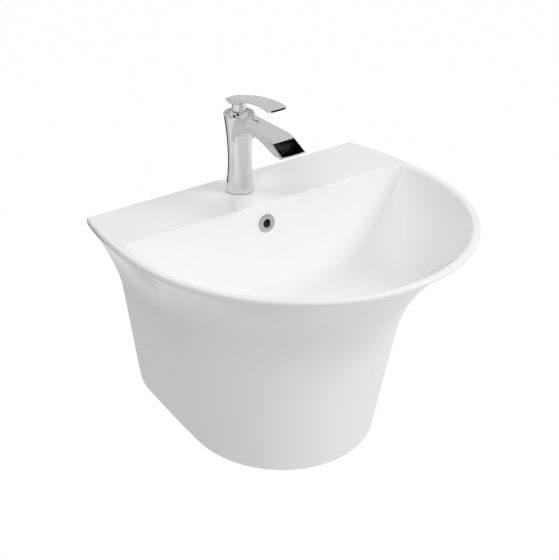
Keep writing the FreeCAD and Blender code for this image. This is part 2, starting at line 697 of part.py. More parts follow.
def tap_stud_nuts():
    """Two nuts that draw the tap down on the deck."""
    nuts = []
    high = -DECK_THICKNESS - CLAMP_RUBBER_THICKNESS - CLAMP_PLATE_THICKNESS
    for side in (-1, 1):
        y = side * STUD_SPACING / 2
        nut = hexagon(STUD_NUT_WIDTH, high - STUD_NUT_HEIGHT, high, 0, y)
        nuts.append(nut.cut(disc(STUD_DIAMETER / 2, high - STUD_NUT_HEIGHT - 1, high + 1, 0, y)))
    return Part.makeCompound(nuts)


def outlet_insert():
    """Plastic stream former pressed into the spout's underside."""
    half = OUTLET_WIDTH / 2 - SEAT_GAP
    reach = OUTLET_LENGTH / 2 - SEAT_GAP
    low = OUTLET_HEIGHT + SEAT_GAP
    high = OUTLET_HEIGHT + OUTLET_DEPTH - SEAT_GAP
    shape = block(-half, half, -OUTLET_AHEAD - reach, -OUTLET_AHEAD + reach, low, high)
    pitch = 2 * half / OUTLET_SLOTS
    gap = 0.3 * pitch
    for i in range(OUTLET_SLOTS):
        x = -half + pitch * (i + 0.5)
        start = -OUTLET_AHEAD - 0.7 * reach
        end = -OUTLET_AHEAD + 0.7 * reach
        shape = shape.cut(block(x - gap, x + gap, start, end, low - 1, high + 1))
    return shape


# ---- cartridge: same local frame as the tap -----------------------------------------
CARTRIDGE_LOW = BORE_FLOOR_HEIGHT + CARTRIDGE_SEAL_THICKNESS
CARTRIDGE_SHOULDER = CARTRIDGE_LOW + CARTRIDGE_HEIGHT
NECK_TOP = CARTRIDGE_SHOULDER + CARTRIDGE_NECK_HEIGHT
PIVOT_HEIGHT = NECK_TOP + PIVOT_ABOVE_NECK
CARRIER_LOW = NECK_TOP - CARRIER_DEPTH
CARRIER_TOP = NECK_TOP + CARRIER_COLLAR_HEIGHT


def cartridge_body():
    """Plastic cartridge housing, open at the top, with water ports in its floor."""
    outer = BORE_DIAMETER / 2 - SEAT_GAP
    shape = disc(outer, CARTRIDGE_LOW, CARTRIDGE_SHOULDER)
    shape = shape.fuse(disc(CARTRIDGE_NECK_DIAMETER / 2, CARTRIDGE_LOW, NECK_TOP)).removeSplitter()
    shape = shape.cut(disc(CARRIER_DIAMETER / 2 + RUNNING_FIT, CARRIER_LOW - MOVING_GAP, NECK_TOP + 1))
    for side in (-1, 1):
        x = side * INLET_SPACING / 2
        shape = shape.cut(disc(INLET_BORE_DIAMETER / 2, CARTRIDGE_LOW - 1, CARRIER_LOW, x, 0))
    port_low = WATERWAY_LOW[0][1]
    port_high = WATERWAY_HIGH[-1][1]
    port = 0.35 * WATERWAY_WIDTH
    return shape.cut(block(-port, port, -BORE_DIAMETER, 0, port_low, port_high))


def cartridge_seals():
    """Two rubber rings between the inlet bores and the cartridge."""
    rings = []
    for side in (-1, 1):
        x = side * INLET_SPACING / 2
        inner = INLET_BORE_DIAMETER / 2
        rings.append(ring(inner, inner + 2, BORE_FLOOR_HEIGHT, CARTRIDGE_LOW, x, 0))
    return Part.makeCompound(rings)


def cartridge_nut():
    """Brass ring nut that holds the cartridge down by its shoulder."""
    inner = CARTRIDGE_NECK_DIAMETER / 2 + SEAT_GAP
    outer = BORE_DIAMETER / 2 - SEAT_GAP
    return ring(inner, outer, CARTRIDGE_SHOULDER, CARTRIDGE_SHOULDER + CARTRIDGE_NUT_HEIGHT)


def stem_slot(low, high):
    """Space that lets the stem tip back, open towards the wall."""
    half = STEM_DIAMETER / 2 + MOVING_GAP
    return block(-half, half, -half, CARRIER_DIAMETER, low, high)


def cartridge_carrier():
    """Plastic core that turns in the cartridge, carries the pivot pin and holds up the dome."""
    outer = CARRIER_DIAMETER / 2
    collar = disc(CARRIER_COLLAR_DIAMETER / 2, NECK_TOP + MOVING_GAP, CARRIER_TOP)
    inside_dome = Part.makeSphere(DOME_RADIUS - DOME_WALL - SEAT_GAP, Vector(0, 0, PIVOT_HEIGHT))
    shape = disc(outer, CARRIER_LOW, CARRIER_TOP).fuse(collar.common(inside_dome)).removeSplitter()
    slot_low = PIVOT_HEIGHT - STEM_DIAMETER / 2 - 1
    slot = stem_slot(slot_low, CARRIER_TOP + 1)
    slot = slot.common(disc(outer - CARRIER_RIM, slot_low, CARRIER_TOP + 1))
    way = Vector(1, 0, 0)
    pin = Part.makeCylinder(PIVOT_PIN_DIAMETER / 2, 2 * outer, Vector(-outer, 0, PIVOT_HEIGHT), way)
    return shape.cut(slot).cut(pin)


def lever_pivot_pin():
    """Steel pin across the carrier, which the stem tips about."""
    half = CARRIER_DIAMETER / 2 - 0.8
    start = Vector(-half, 0, PIVOT_HEIGHT)
    return Part.makeCylinder(PIVOT_PIN_DIAMETER / 2, 2 * half, start, Vector(1, 0, 0))


def cartridge_stem():
    """Steel stem on the pivot pin, up into the lever."""
    radius = STEM_DIAMETER / 2
    knuckle = Part.makeCylinder(radius, STEM_DIAMETER, Vector(-radius, 0, PIVOT_HEIGHT), Vector(1, 0, 0))
    rod = disc(radius, PIVOT_HEIGHT, PIVOT_HEIGHT + STEM_LENGTH)
    way = Vector(1, 0, 0)
    pin = Part.makeCylinder(PIVOT_PIN_DIAMETER / 2 + RUNNING_FIT, FAR, Vector(-FAR / 2, 0, PIVOT_HEIGHT), way)
    return rod.fuse(knuckle).cut(pin)


def dome_cap():
    """Chrome dome over the cartridge, which turns with the lever, slotted for the stem."""
    centre = Vector(0, 0, PIVOT_HEIGHT)
    ball = Part.makeSphere(DOME_RADIUS, centre)
    flange_low = CARTRIDGE_SHOULDER + CARTRIDGE_NUT_HEIGHT + MOVING_GAP
    flange_top = flange_low + DOME_FLANGE_THICKNESS
    above = disc(FAR, flange_low, FAR)
    flange = disc(CHAMBER_DIAMETER / 2 - MOVING_GAP, flange_low, flange_top)
    shape = ball.common(above).fuse(flange)
    inside = Part.makeSphere(DOME_RADIUS - DOME_WALL, centre).common(above)
    neck = disc(CARTRIDGE_NECK_DIAMETER / 2 + MOVING_GAP, flange_low - 1, NECK_TOP + MOVING_GAP)
    shape = shape.cut(inside).cut(neck)
    half = STEM_DIAMETER / 2 + MOVING_GAP
    back = (DOME_RADIUS + 1) * math.sin(math.radians(LEVER_LIFT_MAX)) + half + 1
    slot = block(-half, half, -half, back, NECK_TOP, FAR)
    return shape.cut(slot)


def lever_handle():
    """Lever blade, thick at its root, on a neck whose foot rides close over the dome."""
    crest = side_points(LEVER_CREST)
    under = side_points(LEVER_UNDER)
    heel, heel_back = side_points(LEVER_HEEL)
    edges = [
        spline_edge(crest),
        Part.makeLine(crest[-1], under[0]),
        spline_edge(under),
        Part.makeLine(under[-1], heel),
        Part.makeLine(heel, heel_back),
        Part.makeLine(heel_back, crest[0]),
    ]
    blade = side_plate(edges, 2 * LEVER_TIP_WIDTH)
    back = crest[0].y
    reach = LEVER_CREST[-1][0]
    trim = plan_trim(back, LEVER_BACK_WIDTH / 2, 0, LEVER_MIDDLE_WIDTH / 2, reach, LEVER_TIP_WIDTH / 2)
    over_dome = Part.makeSphere(DOME_RADIUS + MOVING_GAP, Vector(0, 0, PIVOT_HEIGHT))
    neck = disc(LEVER_NECK_RADIUS, PIVOT_HEIGHT + DOME_RADIUS / 2, LEVER_NECK_TOP).cut(over_dome)
    blade = rounded_sides(blade.common(trim), LEVER_EDGE_ROUNDING, LEVER_ROUNDED_FROM)
    shape = blade.fuse(neck).removeSplitter()
    shape = shape.cut(disc(STEM_DIAMETER / 2 + SEAT_GAP, PIVOT_HEIGHT, PIVOT_HEIGHT + STEM_LENGTH + SEAT_GAP))
    return shape.cut(screw_hole())


SCREW_RISE = DOME_RADIUS + 4.5


def screw_hole():
    """Level hole from the back of the lever's neck to the stem, stepped for its cover."""
    spot = Vector(0, STEM_DIAMETER / 2, PIVOT_HEIGHT + SCREW_RISE)
    way = Vector(0, 1, 0)
    thread = Part.makeCylinder(LEVER_SCREW_DIAMETER / 2, FAR, spot, way)
    mouth = spot + way * (LEVER_SCREW_LENGTH + SEAT_GAP)
    return thread.fuse(Part.makeCylinder(SCREW_COVER_DIAMETER / 2, FAR, mouth, way))


def lever_screw():
    """Grub screw with a hexagon socket, tight on the stem."""
    spot = Vector(0, STEM_DIAMETER / 2 + SEAT_GAP / 2, PIVOT_HEIGHT + SCREW_RISE)
    way = Vector(0, 1, 0)
    screw = Part.makeCylinder(LEVER_SCREW_DIAMETER / 2 - SEAT_GAP, LEVER_SCREW_LENGTH, spot, way)
    key = hexagon(LEVER_SCREW_DIAMETER / 2, -LEVER_SCREW_LENGTH / 2, 1)
    key.rotate(Vector(0, 0, 0), Vector(1, 0, 0), -90)
    key.translate(spot + way * LEVER_SCREW_LENGTH)
    return screw.cut(key)


def lever_screw_cover():
    """Round plug over the grub screw."""
    start = STEM_DIAMETER / 2 + LEVER_SCREW_LENGTH + 2 * SEAT_GAP
    spot = Vector(0, start, PIVOT_HEIGHT + SCREW_RISE)
    radius = SCREW_COVER_DIAMETER / 2 - SEAT_GAP
    return Part.makeCylinder(radius, SCREW_COVER_THICKNESS, spot, Vector(0, 1, 0))


# ---- waste: local frame with its origin on the bowl's floor, on the drain's axis ----
SEAT = -WASTE_RECESS_DEPTH
FLANGE_LOW = SEAT + WASTE_SEAL_THICKNESS
FLANGE_TOP = FLANGE_LOW + WASTE_FLANGE_THICKNESS
BOSS_LOW = SEAT - WASTE_BOSS_HEIGHT
TUBE_LOW = FLANGE_TOP - WASTE_LENGTH
PLUG_LOW = FLANGE_TOP + PLUG_SEAL_THICKNESS + MOVING_GAP + PLUG_TRAVEL
CLICK_TOP = FLANGE_TOP - CLICK_DROP
SPIDER_LOW = CLICK_TOP - CLICK_HEIGHT / 2


def waste_body():
    """Slotted brass waste: flange, threaded tube and the spider that holds the mechanism."""
    tube = WASTE_TUBE_DIAMETER / 2
    bore = WASTE_BORE_DIAMETER / 2
    flange = WASTE_FLANGE_DIAMETER / 2
    profile = [
        (bore, TUBE_LOW),
        (bore, FLANGE_TOP - WASTE_FLANGE_THICKNESS),
        (bore + 2, FLANGE_TOP),
        (flange - 2, FLANGE_TOP),
        (flange, FLANGE_TOP - 1),
        (flange, FLANGE_LOW),
        (tube, FLANGE_LOW),
        (tube, TUBE_LOW),
    ]
    shape = turned(profile)
    slot_top = -CHINA_WALL
    half = WASTE_SLOT_WIDTH / 2
    shape = shape.cut(block(-half, half, -FAR, FAR, slot_top - CHANNEL_HEIGHT, slot_top))
    hub = ring(CLICK_DIAMETER / 2, CLICK_DIAMETER / 2 + 2, SPIDER_LOW, SPIDER_LOW + SPIDER_THICKNESS)
    side = SPIDER_WIDTH / 2
    for i in range(3):
        arm = block(CLICK_DIAMETER / 2 + 1, bore + 1, -side, side, SPIDER_LOW, SPIDER_LOW + SPIDER_THICKNESS)
        arm.rotate(Vector(0, 0, 0), Vector(0, 0, 1), 90 + 120 * i)
        hub = hub.fuse(arm)
    return shape.fuse(hub).removeSplitter()


def waste_top_seal():
    """Foam ring between the waste's flange and the china."""
    return ring(WASTE_TUBE_DIAMETER / 2 + SEAT_GAP, WASTE_FLANGE_DIAMETER / 2 - 1, SEAT, FLANGE_LOW)


def waste_lower_seal():
    """Rubber washer under the china, its upper rim tapered into the hole."""
    inner = WASTE_TUBE_DIAMETER / 2 + SEAT_GAP
    hole = WASTE_HOLE_DIAMETER / 2
    outer = WASTE_TUBE_DIAMETER / 2 + NUT_RIM + 2
    low = BOSS_LOW - LOWER_SEAL_HEIGHT + LOWER_SEAL_TAPER_HEIGHT
    profile = [
        (inner, low),
        (inner, BOSS_LOW + LOWER_SEAL_TAPER_HEIGHT),
        ((inner + hole) / 2, BOSS_LOW + LOWER_SEAL_TAPER_HEIGHT),
        (hole - SEAT_GAP, BOSS_LOW),
        (outer, BOSS_LOW),
        (outer, low),
    ]
    return turned(profile)


def waste_back_nut():
    """Large hexagon nut that draws the waste down."""
    high = BOSS_LOW - LOWER_SEAL_HEIGHT + LOWER_SEAL_TAPER_HEIGHT
    low = high - WASTE_NUT_HEIGHT
    inner = WASTE_TUBE_DIAMETER / 2 + SEAT_GAP
    return hexagon(2 * (inner + NUT_RIM), low, high).cut(disc(inner, low - 1, high + 1))


def plug_cap():
    """Chromed mushroom cap with a low crown."""
    radius = PLUG_DIAMETER / 2
    high = PLUG_LOW + PLUG_THICKNESS
    crown = (radius**2 + PLUG_CROWN**2) / (2 * PLUG_CROWN)
    plate = disc(radius, PLUG_LOW, high)
    ball = Part.makeSphere(crown, Vector(0, 0, high + PLUG_CROWN - crown))
    head = ball.common(disc(radius, high - 0.5, high + 2 * PLUG_CROWN))
    shape = plate.fuse(head).removeSplitter()
    return shape.cut(disc(PLUG_STEM_DIAMETER / 2 - 1, PLUG_LOW - 1, high))


def plug_seal():
    """Rubber ring under the cap that meets the waste's flange."""
    outer = WASTE_BORE_DIAMETER / 2 + PLUG_SEAL_WIDTH
    return ring(outer - PLUG_SEAL_WIDTH, outer, PLUG_LOW - PLUG_SEAL_THICKNESS, PLUG_LOW)


STEM_LOW = CLICK_TOP - CLICK_HEIGHT + CLICK_FLOOR + CLICK_CHAMBER_HEIGHT


def plug_stem():
    """Threaded stem from the cap down into the click mechanism."""
    stem = disc(PLUG_STEM_DIAMETER / 2, STEM_LOW, PLUG_LOW)
    screw = disc(PLUG_STEM_DIAMETER / 2 - 1 - SEAT_GAP, PLUG_LOW - 1, PLUG_LOW + PLUG_THICKNESS - 0.5)
    return stem.fuse(screw)


def click_housing():
    """Plastic housing of the push-push mechanism, held in the spider."""
    radius = CLICK_DIAMETER / 2 - SEAT_GAP
    low = CLICK_TOP - CLICK_HEIGHT
    shape = disc(radius, low, CLICK_TOP)
    collar_low = SPIDER_LOW + SPIDER_THICKNESS
    shape = shape.fuse(disc(CLICK_DIAMETER / 2 + 1, collar_low, collar_low + 2))
    bore = PLUG_STEM_DIAMETER / 2 + RUNNING_FIT
    return shape.removeSplitter().cut(disc(bore, low + CLICK_FLOOR, CLICK_TOP + 1))


# ---- bottle trap: same local frame as the waste -------------------------------------
PIPE = PIPE_DIAMETER / 2
PIPE_BORE = PIPE - PIPE_WALL
UNION_SEAL_LOW = TUBE_LOW - UNION_SEAL_THICKNESS
COLLAR_LOW = UNION_SEAL_LOW - PIPE_COLLAR_THICKNESS
HOUSING_TOP = -TRAP_TOP_DROP
HOUSING_LOW = HOUSING_TOP - TRAP_HOUSING_HEIGHT
CUP_LOW = HOUSING_LOW - TRAP_CUP_HEIGHT
NECK = HOUSING_TOP + TRAP_NECK_HEIGHT
SLEEVE = TRAP_NECK_DIAMETER / 2
BRANCH_Z = HOUSING_TOP - SLEEVE
BRANCH_END = TRAP_DIAMETER / 2 + TRAP_BRANCH_LENGTH


def trap_union_seal():
    """Flat washer between the waste and the trap's pipe."""
    return ring(PIPE_BORE, WASTE_TUBE_DIAMETER / 2 - 0.5, UNION_SEAL_LOW, TUBE_LOW)


def trap_inlet_tube():
    """Chromed pipe with a collar, from the waste down into the trap."""
    collar = ring(PIPE_BORE, PIPE + PIPE_COLLAR, COLLAR_LOW, UNION_SEAL_LOW)
    pipe = ring(PIPE_BORE, PIPE, CUP_LOW + TRAP_WALL + DIP_CLEARANCE, UNION_SEAL_LOW)
    return pipe.fuse(collar).removeSplitter()


def trap_union_nut():
    """Nut that draws the pipe's collar up against the waste."""
    inner = WASTE_TUBE_DIAMETER / 2 + SEAT_GAP
    outer = inner + TRAP_NUT_RIM
    high = TUBE_LOW + UNION_GRIP
    low = COLLAR_LOW - 3
    shape = fluted(outer, low, high).cut(disc(inner, COLLAR_LOW, high + 1))
    return shape.cut(disc(PIPE + SEAT_GAP, low - 1, high))


def fluted(radius, low, high):
    """Round nut blank with finger flutes."""
    shape = disc(radius, low, high)
    flutes = 12
    for i in range(flutes):
        turn = 2 * math.pi * i / flutes
        reach = radius + 2.2
        shape = shape.cut(disc(3.0, low - 1, high + 1, reach * math.cos(turn), reach * math.sin(turn)))
    return shape


def trap_top_seal():
    """Tapered rubber ring that seals the pipe in the trap's neck."""
    profile = [
        (PIPE + SEAT_GAP, NECK),
        (PIPE + SEAT_GAP, NECK + TRAP_SEAL_HEIGHT),
        (SLEEVE - 1.5, NECK + TRAP_SEAL_HEIGHT),
        (SLEEVE, NECK),
    ]
    return turned(profile)


def trap_top_nut():
    """Nut over the trap's neck."""
    inner = SLEEVE + SEAT_GAP
    low = NECK - TRAP_NECK_HEIGHT + 1
    high = NECK + TRAP_SEAL_HEIGHT + 3
    shape = fluted(inner + TRAP_NUT_RIM, low, high).cut(disc(inner, low - 1, high - 3))
    return shape.cut(disc(PIPE + SEAT_GAP, low - 1, high + 1))


def trap_body():
    """Upper housing of the bottle trap, with its neck and its side branch."""
    outer = TRAP_DIAMETER / 2
    inner = outer - TRAP_WALL
    shape = disc(outer, HOUSING_LOW, HOUSING_TOP).fuse(disc(SLEEVE, HOUSING_TOP - 1, NECK))
    branch = Part.makeCylinder(SLEEVE - 2, BRANCH_END, Vector(0, 0, BRANCH_Z), Vector(0, 1, 0))
    shape = shape.fuse(branch)
    shape = shape.cut(disc(inner, HOUSING_LOW - 1, HOUSING_TOP - TRAP_WALL))
    shape = shape.cut(disc(PIPE + SEAT_GAP, HOUSING_TOP - TRAP_WALL - 1, NECK + 1))
    bore = Part.makeCylinder(PIPE_BORE, BRANCH_END, Vector(0, inner - 2, BRANCH_Z), Vector(0, 1, 0))
    return shape.cut(bore)


def trap_cup_seal():
    """Ring between the housing and the cup."""
    outer = TRAP_DIAMETER / 2
    return ring(outer - TRAP_WALL, outer, HOUSING_LOW - TRAP_CUP_SEAL_THICKNESS, HOUSING_LOW)


def trap_cup():
    """Bottom cup that unscrews for cleaning."""
    outer = TRAP_DIAMETER / 2
    inner = outer - TRAP_WALL
    top = HOUSING_LOW - TRAP_CUP_SEAL_THICKNESS
    wall = turned(
        [
            (0, CUP_LOW),
            (outer - 8, CUP_LOW),
            (outer - 2, CUP_LOW + 3),
            (outer, CUP_LOW + 9),
            (outer, top),
            (inner, top),
            (inner, CUP_LOW + 10),
            (inner - 6, CUP_LOW + TRAP_WALL),
            (0, CUP_LOW + TRAP_WALL),
        ]
    )
    skirt_inner = outer + SEAT_GAP
    low = top - 4
    high = HOUSING_LOW + TRAP_CUP_GRIP
    skirt = fluted(skirt_inner + TRAP_NUT_RIM, low, high).cut(disc(skirt_inner, top, high + 1))
    skirt = skirt.cut(disc(outer - 1, low - 1, top + 1))
    return wall.fuse(skirt).removeSplitter()


def trap_outlet_seal():
    """Flat ring between the branch and the outlet pipe's collar."""
    return tube_along_y(PIPE_BORE, SLEEVE - 2, BRANCH_END, BRANCH_END + UNION_SEAL_THICKNESS, BRANCH_Z)


def trap_outlet_tube():
    """Pipe from the trap's branch to the wall, with a slimmer end that goes into the drain."""
    start = BRANCH_END + UNION_SEAL_THICKNESS
    wall = DRAIN_FROM_WALL
    pipe = tube_along_y(PIPE_BORE, PIPE, start, wall, BRANCH_Z)
    collar = tube_along_y(PIPE_BORE, SLEEVE - 2, start, start + PIPE_COLLAR_THICKNESS, BRANCH_Z)
    end = tube_along_y(PIPE_BORE, PIPE_END_DIAMETER / 2, start, wall + PIPE_END_LENGTH, BRANCH_Z)
    return pipe.fuse(collar).fuse(end).removeSplitter()


def trap_outlet_nut():
    """Nut over the branch and the outlet pipe's collar."""
    inner = SLEEVE - 2 + SEAT_GAP
    grip = TRAP_NUT_HEIGHT - 3 - UNION_SEAL_THICKNESS - PIPE_COLLAR_THICKNESS
    low = BRANCH_END - grip
    high = low + TRAP_NUT_HEIGHT
    shape = fluted(inner + TRAP_NUT_RIM, low, high).cut(disc(inner, low - 1, high - 3))
    shape = shape.cut(disc(PIPE + SEAT_GAP, low - 1, high + 1))
    shape.rotate(Vector(0, 0, 0), Vector(1, 0, 0), -90)
    shape.translate(Vector(0, 0, BRANCH_Z))
    return shape


def wall_rosette():
    """Thin dished cover round the pipe, against the wall."""
    outer = ROSETTE_DIAMETER / 2
    inner = PIPE + SEAT_GAP
    wall = ROSETTE_WALL
    profile = [
        (inner, 0),
        (inner, ROSETTE_HEIGHT),
        (inner + wall, ROSETTE_HEIGHT),
        (outer - wall, wall * 1.5),
        (outer, 0),
        (outer - wall, 0),
        (inner + wall, ROSETTE_HEIGHT - 2 * wall),
        (inner + wall, 0),
    ]
    shape = turned(profile)
    shape.rotate(Vector(0, 0, 0), Vector(1, 0, 0), 90)
    shape.translate(Vector(0, DRAIN_FROM_WALL, BRANCH_Z))
    return shape


# ---- build --------------------------------------------------------------------------
CHINA_PIECES = (basin_body, wall_bolt_bushes, overflow_ring)
TAP_PIECES = (
    tap_body,
    tap_base_gasket,
    tap_clamp_washer,
    tap_clamp_plate,
    tap_studs,
    tap_stud_nuts,
    outlet_insert,
    cartridge_body,
    cartridge_seals,
    cartridge_nut,
    cartridge_carrier,
    lever_pivot_pin,
    cartridge_stem,
    dome_cap,
    lever_handle,
    lever_screw,
    lever_screw_cover,
)
WASTE_PIECES = (
    waste_body,
    waste_top_seal,
    waste_lower_seal,
    waste_back_nut,
    plug_cap,
    plug_seal,
    plug_stem,
    click_housing,
    trap_union_seal,
    trap_inlet_tube,
    trap_union_nut,
    trap_top_seal,
    trap_top_nut,
    trap_body,
    trap_cup_seal,
    trap_cup,
    trap_outlet_seal,
    trap_outlet_tube,
    trap_outlet_nut,
    wall_rosette,
)

os.makedirs("parts", exist_ok=True)
PLACES = (
    (CHINA_PIECES, Vector(0, 0, 0)),
    (TAP_PIECES, Vector(0, -TAP_FROM_WALL, RIM)),
    (WASTE_PIECES, Vector(0, -DRAIN_FROM_WALL, FLOOR)),
)
for pieces, place in PLACES:
    for make in pieces:
        shape = make()
        shape.translate(place)
        print(make.__name__, len(shape.Solids), shape.isValid(), round(shape.Volume))
        save(make.__name__, shape)
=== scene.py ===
import math

import bmesh
import bpy
import numpy as np
from mathutils import Matrix, Vector


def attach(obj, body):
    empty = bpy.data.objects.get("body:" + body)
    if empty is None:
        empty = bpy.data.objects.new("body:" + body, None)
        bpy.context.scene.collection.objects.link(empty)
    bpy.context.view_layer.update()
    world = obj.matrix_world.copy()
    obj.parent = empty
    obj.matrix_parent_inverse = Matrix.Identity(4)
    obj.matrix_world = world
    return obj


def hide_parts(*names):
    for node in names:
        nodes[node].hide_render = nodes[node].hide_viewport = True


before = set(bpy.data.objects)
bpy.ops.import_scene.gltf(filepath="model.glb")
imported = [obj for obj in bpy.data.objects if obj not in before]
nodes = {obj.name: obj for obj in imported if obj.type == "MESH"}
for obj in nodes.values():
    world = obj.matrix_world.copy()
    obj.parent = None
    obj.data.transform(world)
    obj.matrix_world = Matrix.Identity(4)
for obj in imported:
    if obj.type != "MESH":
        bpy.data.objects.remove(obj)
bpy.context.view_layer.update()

scene = bpy.context.scene

# ---- Camera ---------------------------------------------------------------------------
# A long lens a little over five metres from the basin, to its left and above its rim,
# turned by half a degree as the photograph is.
lens = bpy.data.cameras.new("studio_camera")
lens.sensor_fit = "VERTICAL"
lens.sensor_height = 36.0
lens.lens = 210.38
lens.clip_start = 0.1
lens.clip_end = 100.0
camera = bpy.data.objects.new("studio_camera", lens)
camera.matrix_world = Matrix((
    (0.816355, 0.253236, -0.519072, -2.640392),
    (-0.577500, 0.346056, -0.739418, -3.914957),
    (-0.007619, 0.903392, 0.428749, 2.163867),
    (0.0, 0.0, 0.0, 1.0),
))
scene.collection.objects.link(camera)
scene.camera = camera

# ---- Studio ---------------------------------------------------------------------------
# A pale floor, clear from below, as far down as a basin hangs above it, a plain white world,
# two large soft lamps beside the camera, a low one on the right and two weaker ones behind.
# Mirror finishes see no lamps, but the cards that a photographer stands round chrome.
scene.view_settings.view_transform = "Standard"


def add_node(tree, kind, **settings):
    """A node with its settings, and its unlinked sockets set by name."""
    node = tree.nodes.new(kind)
    sockets = settings.pop("sockets", {})
    for label, value in settings.items():
        setattr(node, label, value)
    for label, value in sockets.items():
        node.inputs[label].default_value = value
    return node


WORLD_STRENGTH = 0.115
WORLD_IN_MIRRORS = 0.62
WHITE = (1.0, 1.0, 1.0, 1.0)
world = bpy.data.worlds.new("studio_world")
scene.world = world
world.use_nodes = True
tree = world.node_tree
tree.nodes.clear()
rays = add_node(tree, "ShaderNodeLightPath")
straight = add_node(tree, "ShaderNodeMath", operation="MAXIMUM")
seen = add_node(tree, "ShaderNodeMath", operation="MULTIPLY_ADD", use_clamp=True)
seen.inputs[1].default_value = WORLD_IN_MIRRORS
lit = add_node(tree, "ShaderNodeBackground", sockets={"Color": WHITE, "Strength": WORLD_STRENGTH})
white = add_node(tree, "ShaderNodeBackground", sockets={"Color": WHITE, "Strength": 1.0})
mix = add_node(tree, "ShaderNodeMixShader")
out = add_node(tree, "ShaderNodeOutputWorld")
tree.links.new(rays.outputs["Is Camera Ray"], straight.inputs[0])
tree.links.new(rays.outputs["Is Transmission Ray"], straight.inputs[1])
tree.links.new(rays.outputs["Is Glossy Ray"], seen.inputs[0])
tree.links.new(straight.outputs[0], seen.inputs[2])
tree.links.new(seen.outputs[0], mix.inputs[0])
tree.links.new(lit.outputs[0], mix.inputs[1])
tree.links.new(white.outputs[0], mix.inputs[2])
tree.links.new(mix.outputs[0], out.inputs["Surface"])

LAMP_SIDE = 1.6
LAMP_AIM = Vector((0.0, -0.25, 0.0))
for name, place, power, colour in (
    ("right_lamp", (1.8, -2.4, 2.2), 64.5, (1.0, 0.998, 0.995)),
    ("left_lamp", (-2.0, -2.2, 2.4), 54.0, (0.995, 0.998, 1.0)),
    ("low_lamp", (2.2, -2.8, 0.2), 12.5, (1.0, 1.0, 1.0)),
    ("rear_left_lamp", (-1.5, 1.5, 2.8), 27.0, (0.995, 0.998, 1.0)),
    ("rear_right_lamp", (1.6, 1.4, 2.6), 26.0, (1.0, 0.998, 0.995)),
):
    data = bpy.data.lights.new(name, "AREA")
    data.shape = "RECTANGLE"
    data.size = data.size_y = LAMP_SIDE
    data.energy = power
    data.color = colour
    lamp = bpy.data.objects.new(name, data)
    turned = (LAMP_AIM - Vector(place)).to_track_quat("-Z", "Y").to_matrix().to_4x4()
    lamp.matrix_world = Matrix.Translation(place) @ turned
    lamp.visible_glossy = False
    scene.collection.objects.link(lamp)


def stage_sheet(name, middle, facing, width, height, material):
    """A flat sheet of the studio, turned to face a point."""
    mesh = bpy.data.meshes.new(name)
    turned = (Vector(facing) - Vector(middle)).to_track_quat("Z", "Y").to_matrix()
    spots = []
    for x, y in ((-1, -1), (1, -1), (1, 1), (-1, 1)):
        corner = Vector((x * width / 2, y * height / 2, 0))
        spots.append(tuple(Vector(middle) + turned @ corner))
    mesh.from_pydata(spots, [], [(0, 1, 2, 3)])
    mesh.materials.append(material)
    obj = bpy.data.objects.new(name, mesh)
    scene.collection.objects.link(obj)
    return obj


FLOOR_DROP = 0.75
FLOOR_SIDE = 18
FLOOR_IN_VIEW = 0.99
FLOOR_IN_MIRRORS = 0.55
paint = bpy.data.materials.new("floor_paint")
paint.use_nodes = True
tree = paint.node_tree
tree.nodes.clear()
matt = add_node(tree, "ShaderNodeBsdfDiffuse", sockets={"Color": (0.86, 0.86, 0.86, 1.0)})
glow = add_node(tree, "ShaderNodeEmission", sockets={"Strength": 1.0})
rays = add_node(tree, "ShaderNodeLightPath")
direct = add_node(tree, "ShaderNodeMath", operation="MULTIPLY")
direct.inputs[1].default_value = FLOOR_IN_VIEW
share = add_node(tree, "ShaderNodeMath", operation="MULTIPLY_ADD", use_clamp=True)
share.inputs[1].default_value = FLOOR_IN_MIRRORS
mix = add_node(tree, "ShaderNodeMixShader")
out = add_node(tree, "ShaderNodeOutputMaterial")
tree.links.new(rays.outputs["Is Camera Ray"], direct.inputs[0])
tree.links.new(rays.outputs["Is Glossy Ray"], share.inputs[0])
tree.links.new(direct.outputs[0], share.inputs[2])
tree.links.new(share.outputs[0], mix.inputs[0])
tree.links.new(matt.outputs[0], mix.inputs[1])
tree.links.new(glow.outputs[0], mix.inputs[2])
under = add_node(tree, "ShaderNodeNewGeometry")
clear = add_node(tree, "ShaderNodeBsdfTransparent")
one_way = add_node(tree, "ShaderNodeMixShader")
tree.links.new(under.outputs["Backfacing"], one_way.inputs[0])
tree.links.new(mix.outputs[0], one_way.inputs[1])
tree.links.new(clear.outputs[0], one_way.inputs[2])
tree.links.new(one_way.outputs[0], out.inputs["Surface"])
stage_sheet("floor", (0, 0, -FLOOR_DROP), (0, 0, 9), FLOOR_SIDE, FLOOR_SIDE, paint)


def card_paint(name, brightness):
    """An even card, as bright as it is set, which is black felt at nothing."""
    material = bpy.data.materials.new(name)
    material.use_nodes = True
    tree = material.node_tree
    tree.nodes.clear()
    even = add_node(tree, "ShaderNodeEmission", sockets={"Color": WHITE, "Strength": brightness})
    out = add_node(tree, "ShaderNodeOutputMaterial")
    tree.links.new(even.outputs[0], out.inputs["Surface"])
    return material


